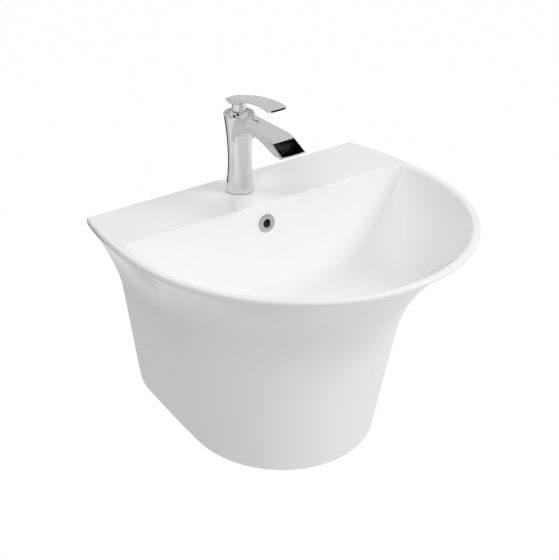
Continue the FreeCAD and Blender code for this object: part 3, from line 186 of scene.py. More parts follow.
felt = card_paint("black_felt", 0.0)
grey_card = card_paint("grey_card", 0.60)
for name, middle, facing, width, height, material in (
    ("card_over_spout", (0.83, -0.106, 1.571), (0, -0.18, 0.21), 0.34, 0.44, felt),
    ("card_before_lever", (0.52, -0.88, -0.12), (0, -0.15, 0.27), 0.34, 0.36, felt),
    ("card_behind_left", (-0.25, 1.30, -0.25), (0, -0.05, 0.16), 0.55, 0.9, felt),
    ("card_above", (-0.25, -0.35, 1.4), (0, -0.05, 0.22), 0.9, 0.7, felt),
    ("card_high_left", (-1.1, 0.2, 0.9), (0, -0.05, 0.22), 0.6, 1.0, felt),
    ("card_left", (-0.75, 1.05, -0.35), (0, -0.05, 0.16), 0.6, 0.9, grey_card),
):
    card = stage_sheet(name, middle, facing, width, height, material)
    card.visible_camera = False
    card.visible_diffuse = False
    card.visible_shadow = False
    card.visible_transmission = False

# ---- China basin ----------------------------------------------------------------------
# Rim, deck, bowl and half-pedestal shroud are one slip casting of vitreous china, dipped
# in white glaze and fired once. It hangs on two wall bolts through its rear web, and the
# glaze is wiped off the back, where the china is ground flat against the wall.
def new_effect(name, amounts, results):
    """An empty shader node group with named inputs and outputs."""
    tree = bpy.data.node_groups.new(name, "ShaderNodeTree")
    for label, value in amounts.items():
        socket = tree.interface.new_socket(label, in_out="INPUT", socket_type="NodeSocketFloat")
        socket.default_value = value
    for label, kind in results.items():
        tree.interface.new_socket(label, in_out="OUTPUT", socket_type=kind)
    return tree, tree.nodes.new("NodeGroupInput"), tree.nodes.new("NodeGroupOutput")


# Clouds of slightly duller and shinier skin, as hands and wiping cloths leave them.
haze_effect, given, result = new_effect(
    "wiped_haze", {"Scale": 12.0, "Smooth": 0.1, "Dull": 0.2},
    {"Roughness": "NodeSocketFloat", "Cloud": "NodeSocketFloat"},
)
spot = add_node(haze_effect, "ShaderNodeTexCoord")
cloud = add_node(
    haze_effect, "ShaderNodeTexNoise",
    sockets={"Detail": 4.0, "Roughness": 0.55, "Distortion": 0.4},
)
spread = add_node(haze_effect, "ShaderNodeMapRange", sockets={"From Min": 0.30, "From Max": 0.70})
haze_effect.links.new(spot.outputs["Object"], cloud.inputs["Vector"])
haze_effect.links.new(given.outputs["Scale"], cloud.inputs["Scale"])
haze_effect.links.new(cloud.outputs["Fac"], spread.inputs["Value"])
haze_effect.links.new(given.outputs["Smooth"], spread.inputs["To Min"])
haze_effect.links.new(given.outputs["Dull"], spread.inputs["To Max"])
haze_effect.links.new(spread.outputs["Result"], result.inputs["Roughness"])
haze_effect.links.new(cloud.outputs["Fac"], result.inputs["Cloud"])

# Faint rings of lime where drops have dried, more of them in some places than in others.
drops_effect, given, result = new_effect(
    "dried_drops", {"Scale": 140.0, "Share": 0.25, "Strength": 0.08}, {"Mark": "NodeSocketFloat"},
)
DROP_RADIUS, DROP_EDGE = 0.22, 0.035
spot = add_node(drops_effect, "ShaderNodeTexCoord")
cells = add_node(drops_effect, "ShaderNodeTexVoronoi", feature="F1")
rim = add_node(drops_effect, "ShaderNodeMath", operation="COMPARE")
rim.inputs[1].default_value = DROP_RADIUS
rim.inputs[2].default_value = DROP_EDGE
chosen = add_node(drops_effect, "ShaderNodeSeparateColor")
kept = add_node(drops_effect, "ShaderNodeMath", operation="LESS_THAN")
both = add_node(drops_effect, "ShaderNodeMath", operation="MULTIPLY")
weak = add_node(drops_effect, "ShaderNodeMath", operation="MULTIPLY")
drops_effect.links.new(spot.outputs["Object"], cells.inputs["Vector"])
drops_effect.links.new(given.outputs["Scale"], cells.inputs["Scale"])
drops_effect.links.new(cells.outputs["Distance"], rim.inputs[0])
drops_effect.links.new(cells.outputs["Color"], chosen.inputs["Color"])
drops_effect.links.new(chosen.outputs["Red"], kept.inputs[0])
drops_effect.links.new(given.outputs["Share"], kept.inputs[1])
drops_effect.links.new(rim.outputs[0], both.inputs[0])
drops_effect.links.new(kept.outputs[0], both.inputs[1])
drops_effect.links.new(both.outputs[0], weak.inputs[0])
drops_effect.links.new(given.outputs["Strength"], weak.inputs[1])
drops_effect.links.new(weak.outputs[0], result.inputs["Mark"])

# The long soft waves of a poured or polished skin, and the fine tooth on top of them.
skin_effect, given, result = new_effect(
    "skin_waves", {"Wave Scale": 30.0, "Tooth Scale": 600.0, "Tooth": 0.1},
    {"Height": "NodeSocketFloat"},
)
spot = add_node(skin_effect, "ShaderNodeTexCoord")
wave = add_node(skin_effect, "ShaderNodeTexNoise", sockets={"Detail": 1.0, "Roughness": 0.4})
tooth = add_node(skin_effect, "ShaderNodeTexNoise", sockets={"Detail": 2.0, "Roughness": 0.6})
sum_up = add_node(skin_effect, "ShaderNodeMath", operation="MULTIPLY_ADD")
skin_effect.links.new(spot.outputs["Object"], wave.inputs["Vector"])
skin_effect.links.new(spot.outputs["Object"], tooth.inputs["Vector"])
skin_effect.links.new(given.outputs["Wave Scale"], wave.inputs["Scale"])
skin_effect.links.new(given.outputs["Tooth Scale"], tooth.inputs["Scale"])
skin_effect.links.new(tooth.outputs["Fac"], sum_up.inputs[0])
skin_effect.links.new(given.outputs["Tooth"], sum_up.inputs[1])
skin_effect.links.new(wave.outputs["Fac"], sum_up.inputs[2])
skin_effect.links.new(sum_up.outputs[0], result.inputs["Height"])


def effect(tree, group, **amounts):
    """One of the shared effects, placed in a material with its own values."""
    node = tree.nodes.new("ShaderNodeGroup")
    node.node_tree = group
    for label, value in amounts.items():
        node.inputs[label.replace("_", " ")].default_value = value
    return node


def new_finish(name, **sockets):
    """A material with one Principled shader, its even values set on the shader."""
    material = bpy.data.materials.new(name)
    material.use_nodes = True
    shader = material.node_tree.nodes["Principled BSDF"]
    for label, value in sockets.items():
        shader.inputs[label.replace("_", " ")].default_value = value
    return material, material.node_tree, shader


def two_colours(tree, shader, mask, first, second):
    """Base colour that runs from one colour to another with a varying mask."""
    blend = add_node(tree, "ShaderNodeMix", data_type="RGBA")
    blend.inputs["A"].default_value = (*first, 1.0)
    blend.inputs["B"].default_value = (*second, 1.0)
    tree.links.new(mask, blend.inputs["Factor"])
    tree.links.new(blend.outputs["Result"], shader.inputs["Base Color"])
    return blend


def bumped(tree, shader, height, distance):
    """Relief of a real depth in metres."""
    relief = add_node(tree, "ShaderNodeBump", sockets={"Distance": distance, "Strength": 1.0})
    tree.links.new(height, relief.inputs["Height"])
    tree.links.new(relief.outputs["Normal"], shader.inputs["Normal"])


BARE_FROM, BARE_TO = -0.0022, -0.0006
BARE_CHINA = (0.74, 0.71, 0.65, 1.0)
BARE_ROUGHNESS = 0.62
china_glaze, tree, shader = new_finish("china_glaze", IOR=1.53)
haze = effect(tree, haze_effect, Scale=5.0, Smooth=0.07, Dull=0.13)
drops = effect(tree, drops_effect, Scale=95.0, Share=0.07, Strength=0.10)
skin = effect(tree, skin_effect, Wave_Scale=26.0, Tooth_Scale=420.0, Tooth=0.02)
spot = add_node(tree, "ShaderNodeTexCoord")
axes = add_node(tree, "ShaderNodeSeparateXYZ")
back = add_node(tree, "ShaderNodeMapRange", sockets={"From Min": BARE_FROM, "From Max": BARE_TO})
blend = two_colours(
    tree, shader, haze.outputs["Cloud"], (0.910, 0.906, 0.906), (0.884, 0.880, 0.881),
)
bare = add_node(tree, "ShaderNodeMix", data_type="RGBA")
bare.inputs["B"].default_value = BARE_CHINA
gloss = add_node(tree, "ShaderNodeMath", operation="ADD")
rough = add_node(tree, "ShaderNodeMath", operation="MULTIPLY_ADD")
rough.inputs[1].default_value = BARE_ROUGHNESS
tree.links.new(spot.outputs["Object"], axes.inputs[0])
tree.links.new(axes.outputs["Y"], back.inputs["Value"])
tree.links.new(blend.outputs["Result"], bare.inputs["A"])
tree.links.new(back.outputs["Result"], bare.inputs["Factor"])
tree.links.new(bare.outputs["Result"], shader.inputs["Base Color"])
tree.links.new(haze.outputs["Roughness"], gloss.inputs[0])
tree.links.new(drops.outputs["Mark"], gloss.inputs[1])
tree.links.new(back.outputs["Result"], rough.inputs[0])
tree.links.new(gloss.outputs[0], rough.inputs[2])
tree.links.new(rough.outputs[0], shader.inputs["Roughness"])
bumped(tree, shader, skin.outputs["Height"], distance=0.00045)

RIM_HEIGHT = 0.100
WALL = 0.012
DECK_DEPTH = 0.1175
DECK_THICKNESS = 0.014
BOWL_DEPTH = 0.147
DRAIN_Y = -0.240
MOUTH_ROUNDING = 0.002
BACK_LEAN = math.tan(math.radians(4.0))
TAP_Y = -0.0485


class Amount:
    """A value worked out by nodes, so that the rule of a shape can be written as a sum."""

    def __init__(self, tree, socket):
        self.tree = tree
        self.socket = socket

    def do(self, operation, *others):
        node = self.tree.nodes.new("ShaderNodeMath")
        node.operation = operation
        for slot, term in zip(node.inputs, (self, *others)):
            if isinstance(term, Amount):
                self.tree.links.new(term.socket, slot)
            else:
                slot.default_value = term
        return Amount(self.tree, node.outputs[0])

    def __add__(self, other):
        return self.do("ADD", other)

    def __sub__(self, other):
        return self.do("SUBTRACT", other)

    def __mul__(self, other):
        return self.do("MULTIPLY", other)

    def __truediv__(self, other):
        return self.do("DIVIDE", other)

    def __pow__(self, other):
        return self.do("POWER", other)

    def less_from(self, whole):
        return (self * -1.0) + whole

    def clipped(self):
        return self.do("MAXIMUM", 0.0).do("MINIMUM", 1.0)


def new_shape_tree(name, amounts):
    """An empty geometry tree with named number inputs and one geometry output."""
    tree = bpy.data.node_groups.new(name, "GeometryNodeTree")
    tree.interface.new_socket("Geometry", in_out="OUTPUT", socket_type="NodeSocketGeometry")
    for label, kind in amounts.items():
        tree.interface.new_socket(label, in_out="INPUT", socket_type=kind)
    source = tree.nodes.new("NodeGroupInput")
    given = {label: Amount(tree, source.outputs[label]) for label in amounts}
    return tree, given


def finish_shape_tree(tree, shape, material):
    """Ends a geometry tree in real geometry with its material."""
    real = tree.nodes.new("GeometryNodeRealizeInstances")
    dress = tree.nodes.new("GeometryNodeSetMaterial")
    dress.inputs["Material"].default_value = material
    end = tree.nodes.new("NodeGroupOutput")
    tree.links.new(shape, real.inputs["Geometry"])
    tree.links.new(real.outputs["Geometry"], dress.inputs["Geometry"])
    tree.links.new(dress.outputs["Geometry"], end.inputs["Geometry"])


def made_by(tree, name, values):
    """The plain mesh that a geometry tree makes from a set of values."""
    holder = bpy.data.objects.new(name, bpy.data.meshes.new(name))
    scene.collection.objects.link(holder)
    modifier = holder.modifiers.new(name, "NODES")
    modifier.node_group = tree
    for item in tree.interface.items_tree:
        if item.in_out == "INPUT":
            modifier[item.identifier] = values[item.name]
    bpy.context.view_layer.update()
    done = holder.evaluated_get(bpy.context.evaluated_depsgraph_get())
    mesh = bpy.data.meshes.new_from_object(done)
    bpy.data.objects.remove(holder)
    return mesh


def add_piece(name, mesh):
    """An object for a finished mesh, in the scene, at the origin."""
    obj = bpy.data.objects.new(name, mesh)
    scene.collection.objects.link(obj)
    return obj


# The shell's rule: a plan outline that is blended, drop by drop, from a tapered column
# out to the rim. The same tree makes the outer skin with its round lip and foot edge, and
# the skin one wall further in.
shell_tree, given = new_shape_tree("china_shell", {
    "Columns": "NodeSocketInt", "Rows": "NodeSocketInt",
    "Inset": "NodeSocketFloat", "Top": "NodeSocketFloat", "Below": "NodeSocketFloat",
    "Lip": "NodeSocketFloat", "Lip On": "NodeSocketFloat", "Foot Edge": "NodeSocketFloat",
    "Start": "NodeSocketFloat",
})
COLUMN_HALF, COLUMN_BACK_HALF, COLUMN_DEPTH, COLUMN_WIDEST = 0.219, 0.214, 0.392, 0.150
COLUMN_FRONT = 0.242
RIM_HALF, RIM_BACK_HALF, RIM_DEPTH, RIM_WIDEST = 0.280, 0.253, 0.490, 0.187
SIDE_TAPER, FRONT_TAPER = 0.175, 0.29
FOOT_DROP, FOOT_CORNER = 0.313, 0.022
FRONT_FLARE_DROP, FRONT_FLARE_POWER = 0.200, 1.9
WALL_FLARE_TOP, WALL_FLARE_DROP, WALL_FLARE_POWER = 0.012, 0.120, 1.6
ROUND_SPACING, ROW_SPACING = 1.25, 1.3
SIDE_PARTS = 3.0
FRONT_TURN = 0.75 * math.pi
FOOT_SHARE, LIP_SHARE = 0.06, 0.16
INSIDE_LIP = 0.05
HAIR = 0.0001
grid = shell_tree.nodes.new("GeometryNodeMeshGrid")
shell_tree.links.new(given["Columns"].socket, grid.inputs["Vertices X"])
shell_tree.links.new(given["Rows"].socket, grid.inputs["Vertices Y"])
spot = shell_tree.nodes.new("GeometryNodeInputPosition")
apart = shell_tree.nodes.new("ShaderNodeSeparateXYZ")
shell_tree.links.new(spot.outputs[0], apart.inputs[0])
across = Amount(shell_tree, apart.outputs["X"]) * 2.0
upward = Amount(shell_tree, apart.outputs["Y"]) + 0.5
side = across.do("SIGN")

# s runs round each half of the outline, from the wall to the front. a, b and c run up the
# foot's edge, the wall and the lip.
share = across.do("ABSOLUTE").less_from(1.0).clipped() ** ROUND_SPACING
s = share * given["Start"].less_from(1.0) + given["Start"]
t = (s * SIDE_PARTS).do("MINIMUM", 1.0)
turn = (s - 1.0 / SIDE_PARTS).do("MAXIMUM", 0.0) * FRONT_TURN
sine = turn.do("SINE")
tilt = math.radians(14.5)
fall = math.tan(tilt)
front_y = (t * -COLUMN_WIDEST) - (sine * COLUMN_FRONT)
flat_drop = (front_y * -fall + FOOT_DROP) / (sine * (FRONT_TAPER * fall) + 1.0)
corner_drop = FOOT_DROP - FOOT_CORNER / math.tan(math.pi / 4 + tilt / 2)
arc = ((front_y + FOOT_CORNER) ** 2.0).less_from(FOOT_CORNER**2).do("MAXIMUM", 0.0).do("SQRT")
near_wall = front_y.do("GREATER_THAN", -FOOT_CORNER * (1 - math.sin(tilt)))
bottom = flat_drop + near_wall * ((arc + corner_drop) - flat_drop) + given["Below"]
a = (upward / FOOT_SHARE).clipped() * (math.pi / 2)
b = ((upward - FOOT_SHARE) / (1 - FOOT_SHARE - LIP_SHARE)).clipped()
c = ((upward - (1 - LIP_SHARE)) / LIP_SHARE).clipped()
lip_turn = c * math.pi
foot = given["Foot Edge"]
lip = given["Lip"]
under_lip = given["Top"] + lip * 2.0
foot_drop = bottom - foot
drop = foot_drop + foot * a.do("COSINE")
drop = drop + (foot_drop - under_lip) * (b.less_from(1.0) ** ROW_SPACING) - (foot_drop - under_lip)
drop = drop + lip * lip_turn.do("COSINE") - lip
front_flare = (drop / -FRONT_FLARE_DROP + 1.0).do("MAXIMUM", 0.0) ** FRONT_FLARE_POWER
wall_flare = ((drop - WALL_FLARE_TOP) / -WALL_FLARE_DROP + 1.0).clipped() ** WALL_FLARE_POWER
bend = s.clipped()
blend = bend * bend * (bend * -2.0 + 3.0)
flare = wall_flare + (front_flare - wall_flare) * blend
inset = given["Inset"] + foot * a.do("SINE").less_from(1.0)
lip_inset = lip * lip_turn.do("SINE").less_from(1.0)
upper = c.do("GREATER_THAN", 0.5) * given["Lip On"]
off_shell = upper * INSIDE_LIP + inset
on_lip = upward.do("GREATER_THAN", 1 - LIP_SHARE - HAIR) * given["Lip On"]
off_lip = on_lip.less_from(1.0) + lip_inset


def shell_size(at_rim, at_column, taper):
    """A size of the plan outline at each drop, on the shell or on its lip."""
    shell = drop * -taper + at_column + flare * (at_rim - at_column) - off_shell
    return shell.do("MAXIMUM", off_lip * -1.0 + at_rim)


half = shell_size(RIM_HALF, COLUMN_HALF, SIDE_TAPER)
back_half = shell_size(RIM_BACK_HALF, COLUMN_BACK_HALF, SIDE_TAPER)
depth = shell_size(RIM_DEPTH, COLUMN_DEPTH, FRONT_TAPER)
widest_on_lip = off_lip.less_from(RIM_WIDEST).do("MINIMUM", on_lip * RIM_WIDEST)
widest = (flare * (RIM_WIDEST - COLUMN_WIDEST) + COLUMN_WIDEST).do("MAXIMUM", widest_on_lip)
x = (half - (half - back_half) * (t.less_from(1.0) ** 2.0)) * turn.do("COSINE") * side
y = (widest * t + (depth - widest) * sine) * -1.0
joined = shell_tree.nodes.new("ShaderNodeCombineXYZ")
place = shell_tree.nodes.new("GeometryNodeSetPosition")
shell_tree.links.new(x.socket, joined.inputs["X"])
shell_tree.links.new(y.socket, joined.inputs["Y"])
shell_tree.links.new(drop.less_from(RIM_HEIGHT).socket, joined.inputs["Z"])
shell_tree.links.new(grid.outputs["Mesh"], place.inputs["Geometry"])
shell_tree.links.new(joined.outputs[0], place.inputs["Position"])
finish_shape_tree(shell_tree, place.outputs["Geometry"], china_glaze)


def closed_shell(name, columns, rows, values):
    """The shell's skin, closed across its top, its bottom and behind the wall plane."""
    mesh = made_by(shell_tree, name, {"Columns": columns, "Rows": rows, **values})
    spots = np.array([v.co for v in mesh.vertices]).reshape(columns, rows, 3)
    number = np.arange(columns * rows).reshape(columns, rows)
    faces = []
    for i in range(columns - 1):
        for k in range(rows - 1):
            faces.append((number[i, k], number[i + 1, k], number[i + 1, k + 1], number[i, k + 1]))
    middle = columns // 2
    for k in (0, rows - 1):
        for i in range(middle - 1):
            j = columns - 1 - i
            faces.append((number[i, k], number[i + 1, k], number[j - 1, k], number[j, k]))
        faces.append((number[middle - 1, k], number[middle, k], number[middle + 1, k]))
    for k in range(rows - 1):
        faces.append((number[0, k], number[0, k + 1], number[-1, k + 1], number[-1, k]))
    return solid_from(name, spots.reshape(-1, 3), faces)


def solid_from(name, spots, faces):
    """A closed mesh object with its faces turned outwards."""
    mesh = bpy.data.meshes.new(name)
    mesh.from_pydata([tuple(p) for p in spots], [], [tuple(int(i) for i in f) for f in faces])
    work = bmesh.new()
    work.from_mesh(mesh)
    bmesh.ops.remove_doubles(work, verts=work.verts, dist=1e-6)
    bmesh.ops.recalc_face_normals(work, faces=work.faces)
    work.to_mesh(mesh)
    work.free()
    return add_piece(name, mesh)


def block(name, low, high):
    """A box between two corners."""
    edges = list(zip(low, high))
    spots = [(x, y, z) for x in edges[0] for y in edges[1] for z in edges[2]]
    faces = [(0, 1, 3, 2), (4, 6, 7, 5), (0, 4, 5, 1), (2, 3, 7, 6), (0, 2, 6, 4), (1, 5, 7, 3)]
    return solid_from(name, spots, faces)


def round_bar(name, radius, start, end, sides=96):
    """A cylinder from one point to another."""
    way = Vector(end) - Vector(start)
    turned = way.to_track_quat("Z", "Y").to_matrix()
    spots = []
    for height in (0.0, way.length):
        for i in range(sides):
            angle = 2 * math.pi * i / sides
            spot = Vector((radius * math.cos(angle), radius * math.sin(angle), height))
            spots.append(Vector(start) + turned @ spot)
    faces = [(i, (i + 1) % sides, sides + (i + 1) % sides, sides + i) for i in range(sides)]
    faces += [tuple(range(sides)), tuple(range(sides, 2 * sides))]
    return solid_from(name, spots, faces)


def cut_by(body, *tools):
    """Cuts each tool out of the body, and the tools are used up."""
    for tool in tools:
        modifier = body.modifiers.new(tool.name, "BOOLEAN")
        modifier.operation = "DIFFERENCE"
        modifier.solver = "MANIFOLD"
        modifier.object = tool
    bpy.context.view_layer.update()
    done = body.evaluated_get(bpy.context.evaluated_depsgraph_get())
    mesh = bpy.data.meshes.new_from_object(done)
    body.modifiers.clear()
    body.data = mesh
    for tool in tools:
        bpy.data.objects.remove(tool)


MOUTH_HALF, MOUTH_FRONT = 0.269, 0.292


def mouth_radius(angle):
    """Distance from the drain to the bowl's mouth, at each plan angle from the front."""
    ahead = -DRAIN_Y - RIM_WIDEST
    answer = None
    for length in (MOUTH_FRONT, MOUTH_HALF):
        p = (np.sin(angle) / MOUTH_HALF) ** 2 + (np.cos(angle) / length) ** 2
        q = 2 * ahead * np.cos(angle) / length**2
        radius = (-q + np.sqrt(q * q - 4 * p * ((ahead / length) ** 2 - 1))) / (2 * p)
        if answer is None:
            answer = radius
        else:
            answer = np.where(ahead + answer * np.cos(angle) > 0, answer, radius)
    return answer


SIDE_STEEP, FRONT_STEEPER = 2.9, 2.3
HALVINGS = 45


def bowl_space(name, grow, crease, deep_crease, rounding):
    """The hollow of the bowl: a soft cup cut by the leaning back wall, its crease eased."""
    floor = BOWL_DEPTH + grow
    fall, soft, step = 0.011, 0.010, 1e-5
    above_rim, row_gap = [-0.006, -0.0005], 0.0012
    half_turn = np.concatenate([
        np.linspace(0, 102, 74), np.linspace(102, 152, 76)[1:], np.linspace(152, 180, 20)[1:],
    ])
    angle = np.radians(np.concatenate([half_turn, 360 - half_turn[-2:0:-1]]))
    steep = SIDE_STEEP + FRONT_STEEPER * np.maximum(0, np.cos(angle)) ** 2
    shares = np.linspace(0.0, 0.93, 78)[1:]
    wall_line, floor_line = shares / SIDE_STEEP, floor - fall * (1 - shares)
    drops = (wall_line + floor_line) / 2 - np.hypot((wall_line - floor_line) / 2, soft)
    edge = rounding * (1 - np.cos(np.linspace(0, math.pi / 2, 8)))
    drops = np.concatenate([above_rim, edge, drops[drops > rounding + row_gap]])
    above = np.maximum(0, rounding**2 - (rounding - np.maximum(drops, 0)) ** 2)
    ease = np.where(drops < rounding, rounding - np.sqrt(above), 0)[None, :]

    def cup_radius(depth):
        slope = 1 / steep[:, None]
        rest = floor - fall - depth
        p, q = slope * fall, slope * rest - depth * fall
        part = (-q + np.sqrt(q * q - 4 * p * (-depth * rest - soft**2))) / (2 * p)
        return mouth_radius(angle)[:, None] * (1 - part) + grow * math.sqrt(2)

    level = drops[None, :]
    cup = cup_radius(level) + ease
    lean = np.hypot(1, (cup_radius(level + step) - cup_radius(level - step)) / (2 * step))
    back = -DECK_DEPTH + grow - BACK_LEAN * level + ease
    reach = crease + (deep_crease - crease) * np.clip(level / BOWL_DEPTH, 0, 1) ** 2
    low, high = np.zeros_like(cup), cup.copy()
    for _ in range(HALVINGS):
        middle = (low + high) / 2
        to_cup = (middle - cup) / lean
        to_back = (DRAIN_Y - middle * np.cos(angle)[:, None] - back) / math.hypot(1, BACK_LEAN)
        near = np.maximum(reach - np.abs(to_cup - to_back), 0)
        outside = np.maximum(to_cup, to_back) + near * near / (4 * reach) > 0
        high = np.where(outside, middle, high)
        low = np.where(outside, low, middle)
    radius = (low + high) / 2
    spots = np.stack([
        radius * np.sin(angle)[:, None],
        DRAIN_Y - radius * np.cos(angle)[:, None],
        np.broadcast_to(RIM_HEIGHT - level, radius.shape),
    ], axis=2)
    turns, rows = radius.shape
    number = np.arange(turns * rows).reshape(turns, rows)
    faces = []
    for i in range(turns):
        j = (i + 1) % turns
        for k in range(rows - 1):
            faces.append((number[i, k], number[j, k], number[j, k + 1], number[i, k + 1]))
    faces += [tuple(number[:, 0]), tuple(number[:, -1])]
    return solid_from(name, spots.reshape(-1, 3), faces)


outer = closed_shell("china_basin", columns=221, rows=120, values={
    "Inset": 0.0, "Top": 0.0, "Below": 0.0, "Start": 0.0,
    "Lip": 0.004, "Lip On": 1.0, "Foot Edge": 0.003,
})
hollow = closed_shell("china_hollow", columns=121, rows=70, values={
    "Inset": WALL, "Top": DECK_THICKNESS, "Below": 0.05, "Start": -0.12,
    "Lip": 0.0, "Lip On": 0.0, "Foot Edge": 0.0,
})
FLOOR_HEIGHT = RIM_HEIGHT - BOWL_DEPTH
UNDER_FLOOR = FLOOR_HEIGHT - WALL
WEB_THICKNESS, WEB_HEIGHT = 0.014, 0.150
CHANNEL_HALF, CHANNEL_FOOT, CHANNEL_TOP = 0.022, FLOOR_HEIGHT - 0.033, 0.0885
CHANNEL_FRONT, CHANNEL_REAR = -0.130, -0.0845
BOSS_RADIUS, BOSS_HEIGHT = 0.042, 0.040
cut_by(
    hollow,
    bowl_space("bowl_outside", WALL, crease=0.026, deep_crease=0.040, rounding=0.0),
    block("rear_web", (-1, -WEB_THICKNESS, RIM_HEIGHT - WEB_HEIGHT), (1, 1, 1)),
    block(
        "channel_back", (-CHANNEL_HALF, CHANNEL_FRONT, CHANNEL_FOOT),
        (CHANNEL_HALF, CHANNEL_REAR, CHANNEL_TOP),
    ),
    block(
        "channel_foot", (-CHANNEL_HALF, DRAIN_Y, CHANNEL_FOOT),
        (CHANNEL_HALF, CHANNEL_REAR, UNDER_FLOOR),
    ),
    round_bar(
        "waste_boss", BOSS_RADIUS,
        (0, DRAIN_Y, FLOOR_HEIGHT - BOSS_HEIGHT), (0, DRAIN_Y, FLOOR_HEIGHT),
    ),
)
OVERFLOW_DROP, OVERFLOW_RADIUS = 0.0325, 0.012
overflow_at = Vector((0, -DECK_DEPTH - BACK_LEAN * OVERFLOW_DROP, RIM_HEIGHT - OVERFLOW_DROP))
into_wall = Vector((0, 1, -BACK_LEAN)).normalized()
WAY_HALF, WAY_FOOT, WAY_TOP = 0.013, FLOOR_HEIGHT - 0.024, 0.0795
WAY_FRONT, WAY_REAR = -0.1055, -0.0935
WASTE_RADIUS, RECESS_RADIUS, RECESS_DEPTH = 0.023, 0.0335, 0.004
TAP_HOLE_RADIUS = 0.0175
BOLT_RADIUS, BOLT_X, BOLT_SIDES = 0.0085, 0.140, 48
cut_by(
    outer, hollow,
    bowl_space("bowl_inside", 0.0, crease=0.014, deep_crease=0.034, rounding=MOUTH_ROUNDING),
    block("channel_way_back", (-WAY_HALF, WAY_FRONT, WAY_FOOT), (WAY_HALF, WAY_REAR, WAY_TOP)),
    block("channel_way_foot", (-WAY_HALF, DRAIN_Y, WAY_FOOT), (WAY_HALF, WAY_REAR, UNDER_FLOOR)),
    round_bar(
        "overflow_eye", OVERFLOW_RADIUS,
        overflow_at - into_wall * WALL, overflow_at + into_wall * 0.018,
    ),
    round_bar(
        "waste_hole", WASTE_RADIUS, (0, DRAIN_Y, FLOOR_HEIGHT - 0.05), (0, DRAIN_Y, RIM_HEIGHT),
    ),
    round_bar(
        "waste_recess", RECESS_RADIUS,
        (0, DRAIN_Y, FLOOR_HEIGHT - RECESS_DEPTH), (0, DRAIN_Y, RIM_HEIGHT),
    ),
    round_bar(
        "tap_hole", TAP_HOLE_RADIUS, (0, TAP_Y, RIM_HEIGHT - 0.015), (0, TAP_Y, RIM_HEIGHT + 0.001),
    ),
    round_bar(
        "wall_bolt_left", BOLT_RADIUS, (-BOLT_X, -0.015, 0), (-BOLT_X, 0.001, 0), BOLT_SIDES,
    ),
    round_bar(
        "wall_bolt_right", BOLT_RADIUS, (BOLT_X, -0.015, 0), (BOLT_X, 0.001, 0), BOLT_SIDES,
    ),
)


def smooth_shaded(obj, sharpest):
    """Smooth shading with real corners kept crisp and flat faces kept flat."""
    work = bmesh.new()
    work.from_mesh(obj.data)
    bmesh.ops.remove_doubles(work, verts=work.verts, dist=2e-6)
    bmesh.ops.dissolve_degenerate(work, edges=work.edges, dist=2e-6)
    for face in work.faces:
        face.smooth = True
    for edge in work.edges:
        if edge.is_manifold and edge.calc_face_angle(0.0) > math.radians(sharpest):
            edge.smooth = False
    work.to_mesh(obj.data)
    work.free()
    weigh = obj.modifiers.new("weigh", "WEIGHTED_NORMAL")
    weigh.keep_sharp = True
    bpy.context.view_layer.update()
    done = obj.evaluated_get(bpy.context.evaluated_depsgraph_get())
    mesh = bpy.data.meshes.new_from_object(done)
    obj.modifiers.clear()
    obj.data = mesh


smooth_shaded(outer, sharpest=38)
outer.data.materials.clear()
outer.data.materials.append(china_glaze)
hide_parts("basin_body")
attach(outer, "basin")

# ---- Overflow ring --------------------------------------------------------------------
# The overflow hole's trim: a moulded ring with a chromed, domed lip and a sleeve that is
# pushed into the back wall of the bowl. It is turned from one outline.
def turned_piece(name, outline, sides, place, way):
    """A closed outline of (radius, height) points turned round an axis."""
    turned = Vector(way).to_track_quat("Z", "Y").to_matrix()
    spots = []
    for i in range(sides):
        angle = 2 * math.pi * i / sides
        for radius, height in outline:
            spot = Vector((radius * math.cos(angle), radius * math.sin(angle), height))
            spots.append(Vector(place) + turned @ spot)
    rows = len(outline)
    faces = []
    for i in range(sides):
        j = (i + 1) % sides
        for k in range(rows):
            m = (k + 1) % rows
            faces.append((i * rows + k, j * rows + k, j * rows + m, i * rows + m))
    return solid_from(name, spots, faces)


def arc_points(centre, radius_across, radius_along, start, end, steps):
    """Points of an elliptic arc in an outline, by angle in degrees."""
    angles = [math.radians(start + (end - start) * i / steps) for i in range(steps + 1)]
    return [
        (centre[0] + radius_across * math.cos(t), centre[1] + radius_along * math.sin(t))
        for t in angles
    ]


RING_OUTER, RING_HEIGHT, RING_EYE, RING_SEAT = 0.015, 0.0026, 0.0065, 0.00005
SLEEVE_RADIUS, SLEEVE_LENGTH = 0.01195, 0.009
INNER_EASE, INNER_START = 0.0022, 0.0004
OUTER_EASE, OUTER_START = 0.0045, 0.0006
ring_outline = [
    (RING_EYE, -SLEEVE_LENGTH),
    *arc_points(
        (RING_EYE + INNER_EASE, INNER_START), INNER_EASE, RING_HEIGHT - INNER_START, 180, 90, 10,
    ),
    *arc_points(
        (RING_OUTER - OUTER_EASE, OUTER_START), OUTER_EASE, RING_HEIGHT - OUTER_START, 90, 0, 14,
    ),
    (RING_OUTER, RING_SEAT),
    (SLEEVE_RADIUS, RING_SEAT),
    (SLEEVE_RADIUS, -SLEEVE_LENGTH),
]
ring = turned_piece("overflow_trim", ring_outline, sides=128, place=overflow_at, way=-into_wall)
smooth_shaded(ring, sharpest=40)

chromed_plastic, tree, shader = new_finish("chromed_plastic", Metallic=1.0)
haze = effect(tree, haze_effect, Scale=140.0, Smooth=0.06, Dull=0.15)
skin = effect(tree, skin_effect, Wave_Scale=260.0, Tooth_Scale=2500.0, Tooth=0.10)
two_colours(tree, shader, haze.outputs["Cloud"], (0.68, 0.68, 0.685), (0.58, 0.58, 0.585))
tree.links.new(haze.outputs["Roughness"], shader.inputs["Roughness"])
bumped(tree, shader, skin.outputs["Height"], distance=0.00005)
ring.data.materials.append(chromed_plastic)
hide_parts("overflow_ring")
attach(ring, "basin")

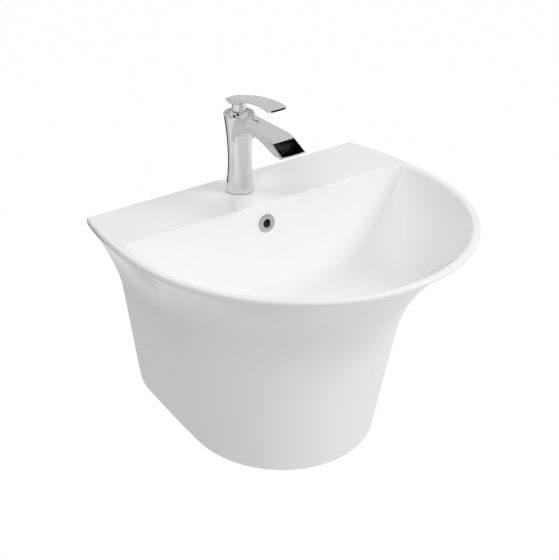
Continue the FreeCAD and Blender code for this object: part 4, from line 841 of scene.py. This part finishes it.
# ---- Wall bolt bushes -----------------------------------------------------------------
# Two flanged bushes of grey polypropylene line the bolt holes in the china's rear web, so
# that the bolts and their washers never bear on bare china.
def dressed(material, *names):
    """Gives CAD nodes, which keep their shape, a finish of their own."""
    for name in names:
        nodes[name].data.materials.clear()
        nodes[name].data.materials.append(material)


# Narrow pale or bright lines on corners, found where the bevelled normal turns from the face's own:
# partly wear where a corner has been knocked or rubbed, partly a painted highlight, a glint along
# the edge.
rub_and_glint_effect, given, result = new_effect("edge_rub_and_glint", {"Width": 0.0006}, {"Rub and Glint": "NodeSocketFloat"})
rounded = add_node(rub_and_glint_effect, "ShaderNodeBevel", samples=4)
plain_way = add_node(rub_and_glint_effect, "ShaderNodeNewGeometry")
agree = add_node(rub_and_glint_effect, "ShaderNodeVectorMath", operation="DOT_PRODUCT")
edge = add_node(rub_and_glint_effect, "ShaderNodeMapRange", sockets={"From Min": 0.995, "From Max": 0.90})
rub_and_glint_effect.links.new(given.outputs["Width"], rounded.inputs["Radius"])
rub_and_glint_effect.links.new(rounded.outputs["Normal"], agree.inputs[0])
rub_and_glint_effect.links.new(plain_way.outputs["Normal"], agree.inputs[1])
rub_and_glint_effect.links.new(agree.outputs["Value"], edge.inputs["Value"])
rub_and_glint_effect.links.new(edge.outputs["Result"], result.inputs["Rub and Glint"])


def rubbed_and_glinting_edges(tree, shader, blend, width, colour):
    """Another colour on the edges, over a material's own blend of colours: rubbed wear together
    with a painted edge highlight.
    """
    rub_and_glint = effect(tree, rub_and_glint_effect, Width=width)
    worn_and_glinting = add_node(tree, "ShaderNodeMix", data_type="RGBA")
    worn_and_glinting.inputs["B"].default_value = (*colour, 1.0)
    tree.links.new(rub_and_glint.outputs["Rub and Glint"], worn_and_glinting.inputs["Factor"])
    tree.links.new(blend.outputs["Result"], worn_and_glinting.inputs["A"])
    tree.links.new(worn_and_glinting.outputs["Result"], shader.inputs["Base Color"])


grey_moulding, tree, shader = new_finish("grey_moulding", IOR=1.49)
haze = effect(tree, haze_effect, Scale=90.0, Smooth=0.42, Dull=0.60)
skin = effect(tree, skin_effect, Wave_Scale=180.0, Tooth_Scale=3800.0, Tooth=0.55)
blend = two_colours(tree, shader, haze.outputs["Cloud"], (0.13, 0.135, 0.14), (0.10, 0.105, 0.11))
# Paler corners: partly rubbed wear, partly a painted highlight along the edges.
rubbed_and_glinting_edges(tree, shader, blend, width=0.0004, colour=(0.27, 0.275, 0.28))
tree.links.new(haze.outputs["Roughness"], shader.inputs["Roughness"])
bumped(tree, shader, skin.outputs["Height"], distance=0.00012)
dressed(grey_moulding, "wall_bolt_bushes")

# ---- Tap body -------------------------------------------------------------------------
# The waisted column and the flat spout are one brass casting, ground, buffed and chromed.
# Buffing leaves the plate a little wavy, and the last wipe leaves a faint haze. A grey
# moulded stream former sits in the underside of the spout's tip.
chrome_plate, tree, shader = new_finish("chrome_plate", Metallic=1.0)
haze = effect(tree, haze_effect, Scale=38.0, Smooth=0.025, Dull=0.075)
drops = effect(tree, drops_effect, Scale=210.0, Share=0.10, Strength=0.12)
skin = effect(tree, skin_effect, Wave_Scale=55.0, Tooth_Scale=1800.0, Tooth=0.015)
both = add_node(tree, "ShaderNodeMath", operation="ADD")
two_colours(tree, shader, haze.outputs["Cloud"], (0.86, 0.86, 0.862), (0.775, 0.775, 0.78))
tree.links.new(haze.outputs["Roughness"], both.inputs[0])
tree.links.new(drops.outputs["Mark"], both.inputs[1])
tree.links.new(both.outputs[0], shader.inputs["Roughness"])
bumped(tree, shader, skin.outputs["Height"], distance=0.00010)
dressed(chrome_plate, "tap_body")
dressed(grey_moulding, "outlet_insert")

# ---- Lever, dome and their screw ------------------------------------------------------
# The lever blade and its neck are one zinc casting, chromed like the body, on a chromed
# dome that turns with it. A black grub screw behind the neck holds it to the stem, under
# a small chromed cover.
dressed(chrome_plate, "lever_handle", "dome_cap")
dressed(chromed_plastic, "lever_screw_cover")

black_steel, tree, shader = new_finish("black_steel", Metallic=1.0)
haze = effect(tree, haze_effect, Scale=400.0, Smooth=0.30, Dull=0.48)
skin = effect(tree, skin_effect, Wave_Scale=500.0, Tooth_Scale=5000.0, Tooth=0.4)
# Pale corners on the black steel: partly wear through the black finish, partly a painted highlight
# along the edges.
rub_and_glint = effect(tree, rub_and_glint_effect, Width=0.0002)
two_colours(tree, shader, rub_and_glint.outputs["Rub and Glint"], (0.05, 0.05, 0.055), (0.30, 0.30, 0.31))
tree.links.new(haze.outputs["Roughness"], shader.inputs["Roughness"])
bumped(tree, shader, skin.outputs["Height"], distance=0.00002)
dressed(black_steel, "lever_screw")

# ---- Cartridge ------------------------------------------------------------------------
# The mixing cartridge stands in the column's bore: a moulded housing and core, a turned
# steel stem on a steel pin, two rubber rings under it and a brass ring nut over it.
rings_effect, given, result = new_effect(
    "lathe_rings", {"Pitch": 900.0, "Wander": 1.0}, {"Height": "NodeSocketFloat"},
)
spot = add_node(rings_effect, "ShaderNodeTexCoord")
turns = add_node(
    rings_effect, "ShaderNodeTexWave", wave_type="BANDS", bands_direction="Z",
    sockets={"Detail": 3.0, "Detail Scale": 2.0},
)
rings_effect.links.new(spot.outputs["Object"], turns.inputs["Vector"])
rings_effect.links.new(given.outputs["Pitch"], turns.inputs["Scale"])
rings_effect.links.new(given.outputs["Wander"], turns.inputs["Distortion"])
rings_effect.links.new(turns.outputs["Fac"], result.inputs["Height"])

machined_brass, tree, shader = new_finish("machined_brass", Metallic=1.0)
haze = effect(tree, haze_effect, Scale=120.0, Smooth=0.20, Dull=0.36)
cut = effect(tree, rings_effect, Pitch=520.0, Wander=0.6)
blend = two_colours(tree, shader, haze.outputs["Cloud"], (0.78, 0.60, 0.30), (0.62, 0.45, 0.20))
# Brighter corners: partly rubbed wear, partly a painted highlight along the edges.
rubbed_and_glinting_edges(tree, shader, blend, width=0.0004, colour=(0.92, 0.78, 0.48))
tree.links.new(haze.outputs["Roughness"], shader.inputs["Roughness"])
bumped(tree, shader, cut.outputs["Height"], distance=0.00004)
dressed(machined_brass, "cartridge_nut")

turned_steel, tree, shader = new_finish("turned_steel", Metallic=1.0)
haze = effect(tree, haze_effect, Scale=160.0, Smooth=0.18, Dull=0.32)
cut = effect(tree, rings_effect, Pitch=900.0, Wander=0.4)
two_colours(tree, shader, haze.outputs["Cloud"], (0.66, 0.66, 0.67), (0.54, 0.54, 0.55))
tree.links.new(haze.outputs["Roughness"], shader.inputs["Roughness"])
bumped(tree, shader, cut.outputs["Height"], distance=0.00003)
dressed(turned_steel, "lever_pivot_pin", "cartridge_stem")

acetal, tree, shader = new_finish("white_acetal", IOR=1.48)
haze = effect(tree, haze_effect, Scale=110.0, Smooth=0.30, Dull=0.42)
skin = effect(tree, skin_effect, Wave_Scale=200.0, Tooth_Scale=4200.0, Tooth=0.35)
two_colours(tree, shader, haze.outputs["Cloud"], (0.82, 0.82, 0.80), (0.76, 0.76, 0.73))
tree.links.new(haze.outputs["Roughness"], shader.inputs["Roughness"])
bumped(tree, shader, skin.outputs["Height"], distance=0.00008)
dressed(acetal, "cartridge_body", "cartridge_carrier")

black_rubber, tree, shader = new_finish("black_rubber", IOR=1.45)
haze = effect(tree, haze_effect, Scale=70.0, Smooth=0.62, Dull=0.82)
skin = effect(tree, skin_effect, Wave_Scale=320.0, Tooth_Scale=5200.0, Tooth=0.9)
two_colours(tree, shader, haze.outputs["Cloud"], (0.022, 0.022, 0.023), (0.045, 0.044, 0.043))
tree.links.new(haze.outputs["Roughness"], shader.inputs["Roughness"])
bumped(tree, shader, skin.outputs["Height"], distance=0.00010)
dressed(black_rubber, "cartridge_seals")

# ---- What clamps the tap to the deck --------------------------------------------------
# A rubber ring seals the tap's foot. Two zinc-plated studs reach down through the deck to
# a steel horseshoe on a rubber one, drawn up by two hexagon nuts.
dressed(black_rubber, "tap_base_gasket", "tap_clamp_washer")

zinc_plate, tree, shader = new_finish("zinc_plate", Metallic=1.0)
haze = effect(tree, haze_effect, Scale=210.0, Smooth=0.28, Dull=0.46)
skin = effect(tree, skin_effect, Wave_Scale=420.0, Tooth_Scale=3600.0, Tooth=0.35)
blend = two_colours(tree, shader, haze.outputs["Cloud"], (0.66, 0.67, 0.69), (0.60, 0.57, 0.50))
# Brighter corners: partly rubbed wear, partly a painted highlight along the edges.
rubbed_and_glinting_edges(tree, shader, blend, width=0.0003, colour=(0.84, 0.85, 0.87))
tree.links.new(haze.outputs["Roughness"], shader.inputs["Roughness"])
bumped(tree, shader, skin.outputs["Height"], distance=0.00005)
dressed(zinc_plate, "tap_clamp_plate", "tap_stud_nuts")

# The studs' thread is one ridge that climbs round each core, so the tree sweeps a small
# six-sided bar along a spiral.
STUD_TOP, STUD_LENGTH, STUD_RADIUS, STUD_SPACING = 0.1132, 0.062, 0.00295, 0.022
THREAD_PITCH, THREAD_DEPTH_SHARE = 0.0010, 0.42
thread_tree, given = new_shape_tree("stud_thread", {
    "Length": "NodeSocketFloat", "Radius": "NodeSocketFloat", "Pitch": "NodeSocketFloat",
    "Top": "NodeSocketFloat", "Spacing": "NodeSocketFloat",
})
spiral = add_node(thread_tree, "GeometryNodeCurveSpiral", sockets={"Resolution": 20})
ridge = add_node(thread_tree, "GeometryNodeCurvePrimitiveCircle", sockets={"Resolution": 6})
sweep = add_node(thread_tree, "GeometryNodeCurveToMesh", sockets={"Fill Caps": True})
depth = given["Pitch"] * THREAD_DEPTH_SHARE
core = given["Radius"] - depth
thread_length = given["Length"] - given["Pitch"] * 2.0
for amount, socket in (
    (thread_length / given["Pitch"], spiral.inputs["Rotations"]),
    (core, spiral.inputs["Start Radius"]),
    (core, spiral.inputs["End Radius"]),
    (thread_length, spiral.inputs["Height"]),
    (depth, ridge.inputs["Radius"]),
):
    thread_tree.links.new(amount.socket, socket)
thread_tree.links.new(spiral.outputs["Curve"], sweep.inputs["Curve"])
thread_tree.links.new(ridge.outputs["Curve"], sweep.inputs["Profile Curve"])
bar = add_node(thread_tree, "GeometryNodeMeshCylinder", sockets={"Vertices": 40})
thread_tree.links.new(core.socket, bar.inputs["Radius"])
thread_tree.links.new(given["Length"].socket, bar.inputs["Depth"])
lower = add_node(thread_tree, "ShaderNodeCombineXYZ")
thread_tree.links.new((thread_length / -2.0).socket, lower.inputs["Z"])
shift = add_node(thread_tree, "GeometryNodeTransform")
thread_tree.links.new(sweep.outputs["Mesh"], shift.inputs["Geometry"])
thread_tree.links.new(lower.outputs[0], shift.inputs["Translation"])
stud = add_node(thread_tree, "GeometryNodeJoinGeometry")
thread_tree.links.new(shift.outputs["Geometry"], stud.inputs["Geometry"])
thread_tree.links.new(bar.outputs["Mesh"], stud.inputs["Geometry"])
row = add_node(thread_tree, "GeometryNodeMeshLine", sockets={"Count": 2})
first = add_node(thread_tree, "ShaderNodeCombineXYZ")
step = add_node(thread_tree, "ShaderNodeCombineXYZ")
thread_tree.links.new((given["Spacing"] / -2.0 + TAP_Y).socket, first.inputs["Y"])
thread_tree.links.new((given["Top"] - given["Length"] / 2.0).socket, first.inputs["Z"])
thread_tree.links.new(given["Spacing"].socket, step.inputs["Y"])
thread_tree.links.new(first.outputs[0], row.inputs["Start Location"])
thread_tree.links.new(step.outputs[0], row.inputs["Offset"])
pair = add_node(thread_tree, "GeometryNodeInstanceOnPoints")
thread_tree.links.new(row.outputs["Mesh"], pair.inputs["Points"])
thread_tree.links.new(stud.outputs["Geometry"], pair.inputs["Instance"])
finish_shape_tree(thread_tree, pair.outputs["Instances"], zinc_plate)
studs = add_piece("threaded_studs", made_by(thread_tree, "threaded_studs", {
    "Length": STUD_LENGTH, "Radius": STUD_RADIUS, "Pitch": THREAD_PITCH,
    "Top": STUD_TOP, "Spacing": STUD_SPACING,
}))
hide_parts("tap_studs")
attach(studs, "basin")

# ---- Waste and push plug --------------------------------------------------------------
# A slotted brass waste is drawn down on a foam ring by a hexagon nut and a tapered rubber
# washer. Its flange and mushroom plug are chromed, and the plug's stem runs in a moulded
# push mechanism on the spider.
foam, tree, shader = new_finish("white_foam", IOR=1.40)
haze = effect(tree, haze_effect, Scale=60.0, Smooth=0.85, Dull=0.95)
spot = add_node(tree, "ShaderNodeTexCoord")
cells = add_node(tree, "ShaderNodeTexVoronoi", sockets={"Scale": 1600.0})
two_colours(tree, shader, haze.outputs["Cloud"], (0.80, 0.80, 0.78), (0.70, 0.69, 0.66))
tree.links.new(spot.outputs["Object"], cells.inputs["Vector"])
tree.links.new(haze.outputs["Roughness"], shader.inputs["Roughness"])
bumped(tree, shader, cells.outputs["Distance"], distance=0.0002)
dressed(foam, "waste_top_seal")
dressed(chrome_plate, "plug_cap", "waste_body")
dressed(black_rubber, "waste_lower_seal", "plug_seal")
dressed(machined_brass, "waste_back_nut")
dressed(turned_steel, "plug_stem")
dressed(acetal, "click_housing")

# ---- Bottle trap ----------------------------------------------------------------------
# White polypropylene mouldings behind the shroud: pipe, housing and cup, screwed together
# with fluted nuts on rubber rings, and an outlet pipe through a rosette into the wall.
white_moulding, tree, shader = new_finish("white_moulding", IOR=1.49)
haze = effect(tree, haze_effect, Scale=24.0, Smooth=0.28, Dull=0.42)
skin = effect(tree, skin_effect, Wave_Scale=70.0, Tooth_Scale=3000.0, Tooth=0.16)
blend = two_colours(tree, shader, haze.outputs["Cloud"], (0.80, 0.80, 0.775), (0.73, 0.73, 0.70))
# Brighter corners: partly rubbed wear, partly a painted highlight along the edges.
rubbed_and_glinting_edges(tree, shader, blend, width=0.0006, colour=(0.87, 0.87, 0.85))
tree.links.new(haze.outputs["Roughness"], shader.inputs["Roughness"])
bumped(tree, shader, skin.outputs["Height"], distance=0.00018)
dressed(
    white_moulding, "trap_inlet_tube", "trap_union_nut", "trap_top_nut", "trap_body", "trap_cup",
    "trap_outlet_tube", "trap_outlet_nut", "wall_rosette",
)
dressed(black_rubber, "trap_union_seal", "trap_top_seal", "trap_cup_seal", "trap_outlet_seal")
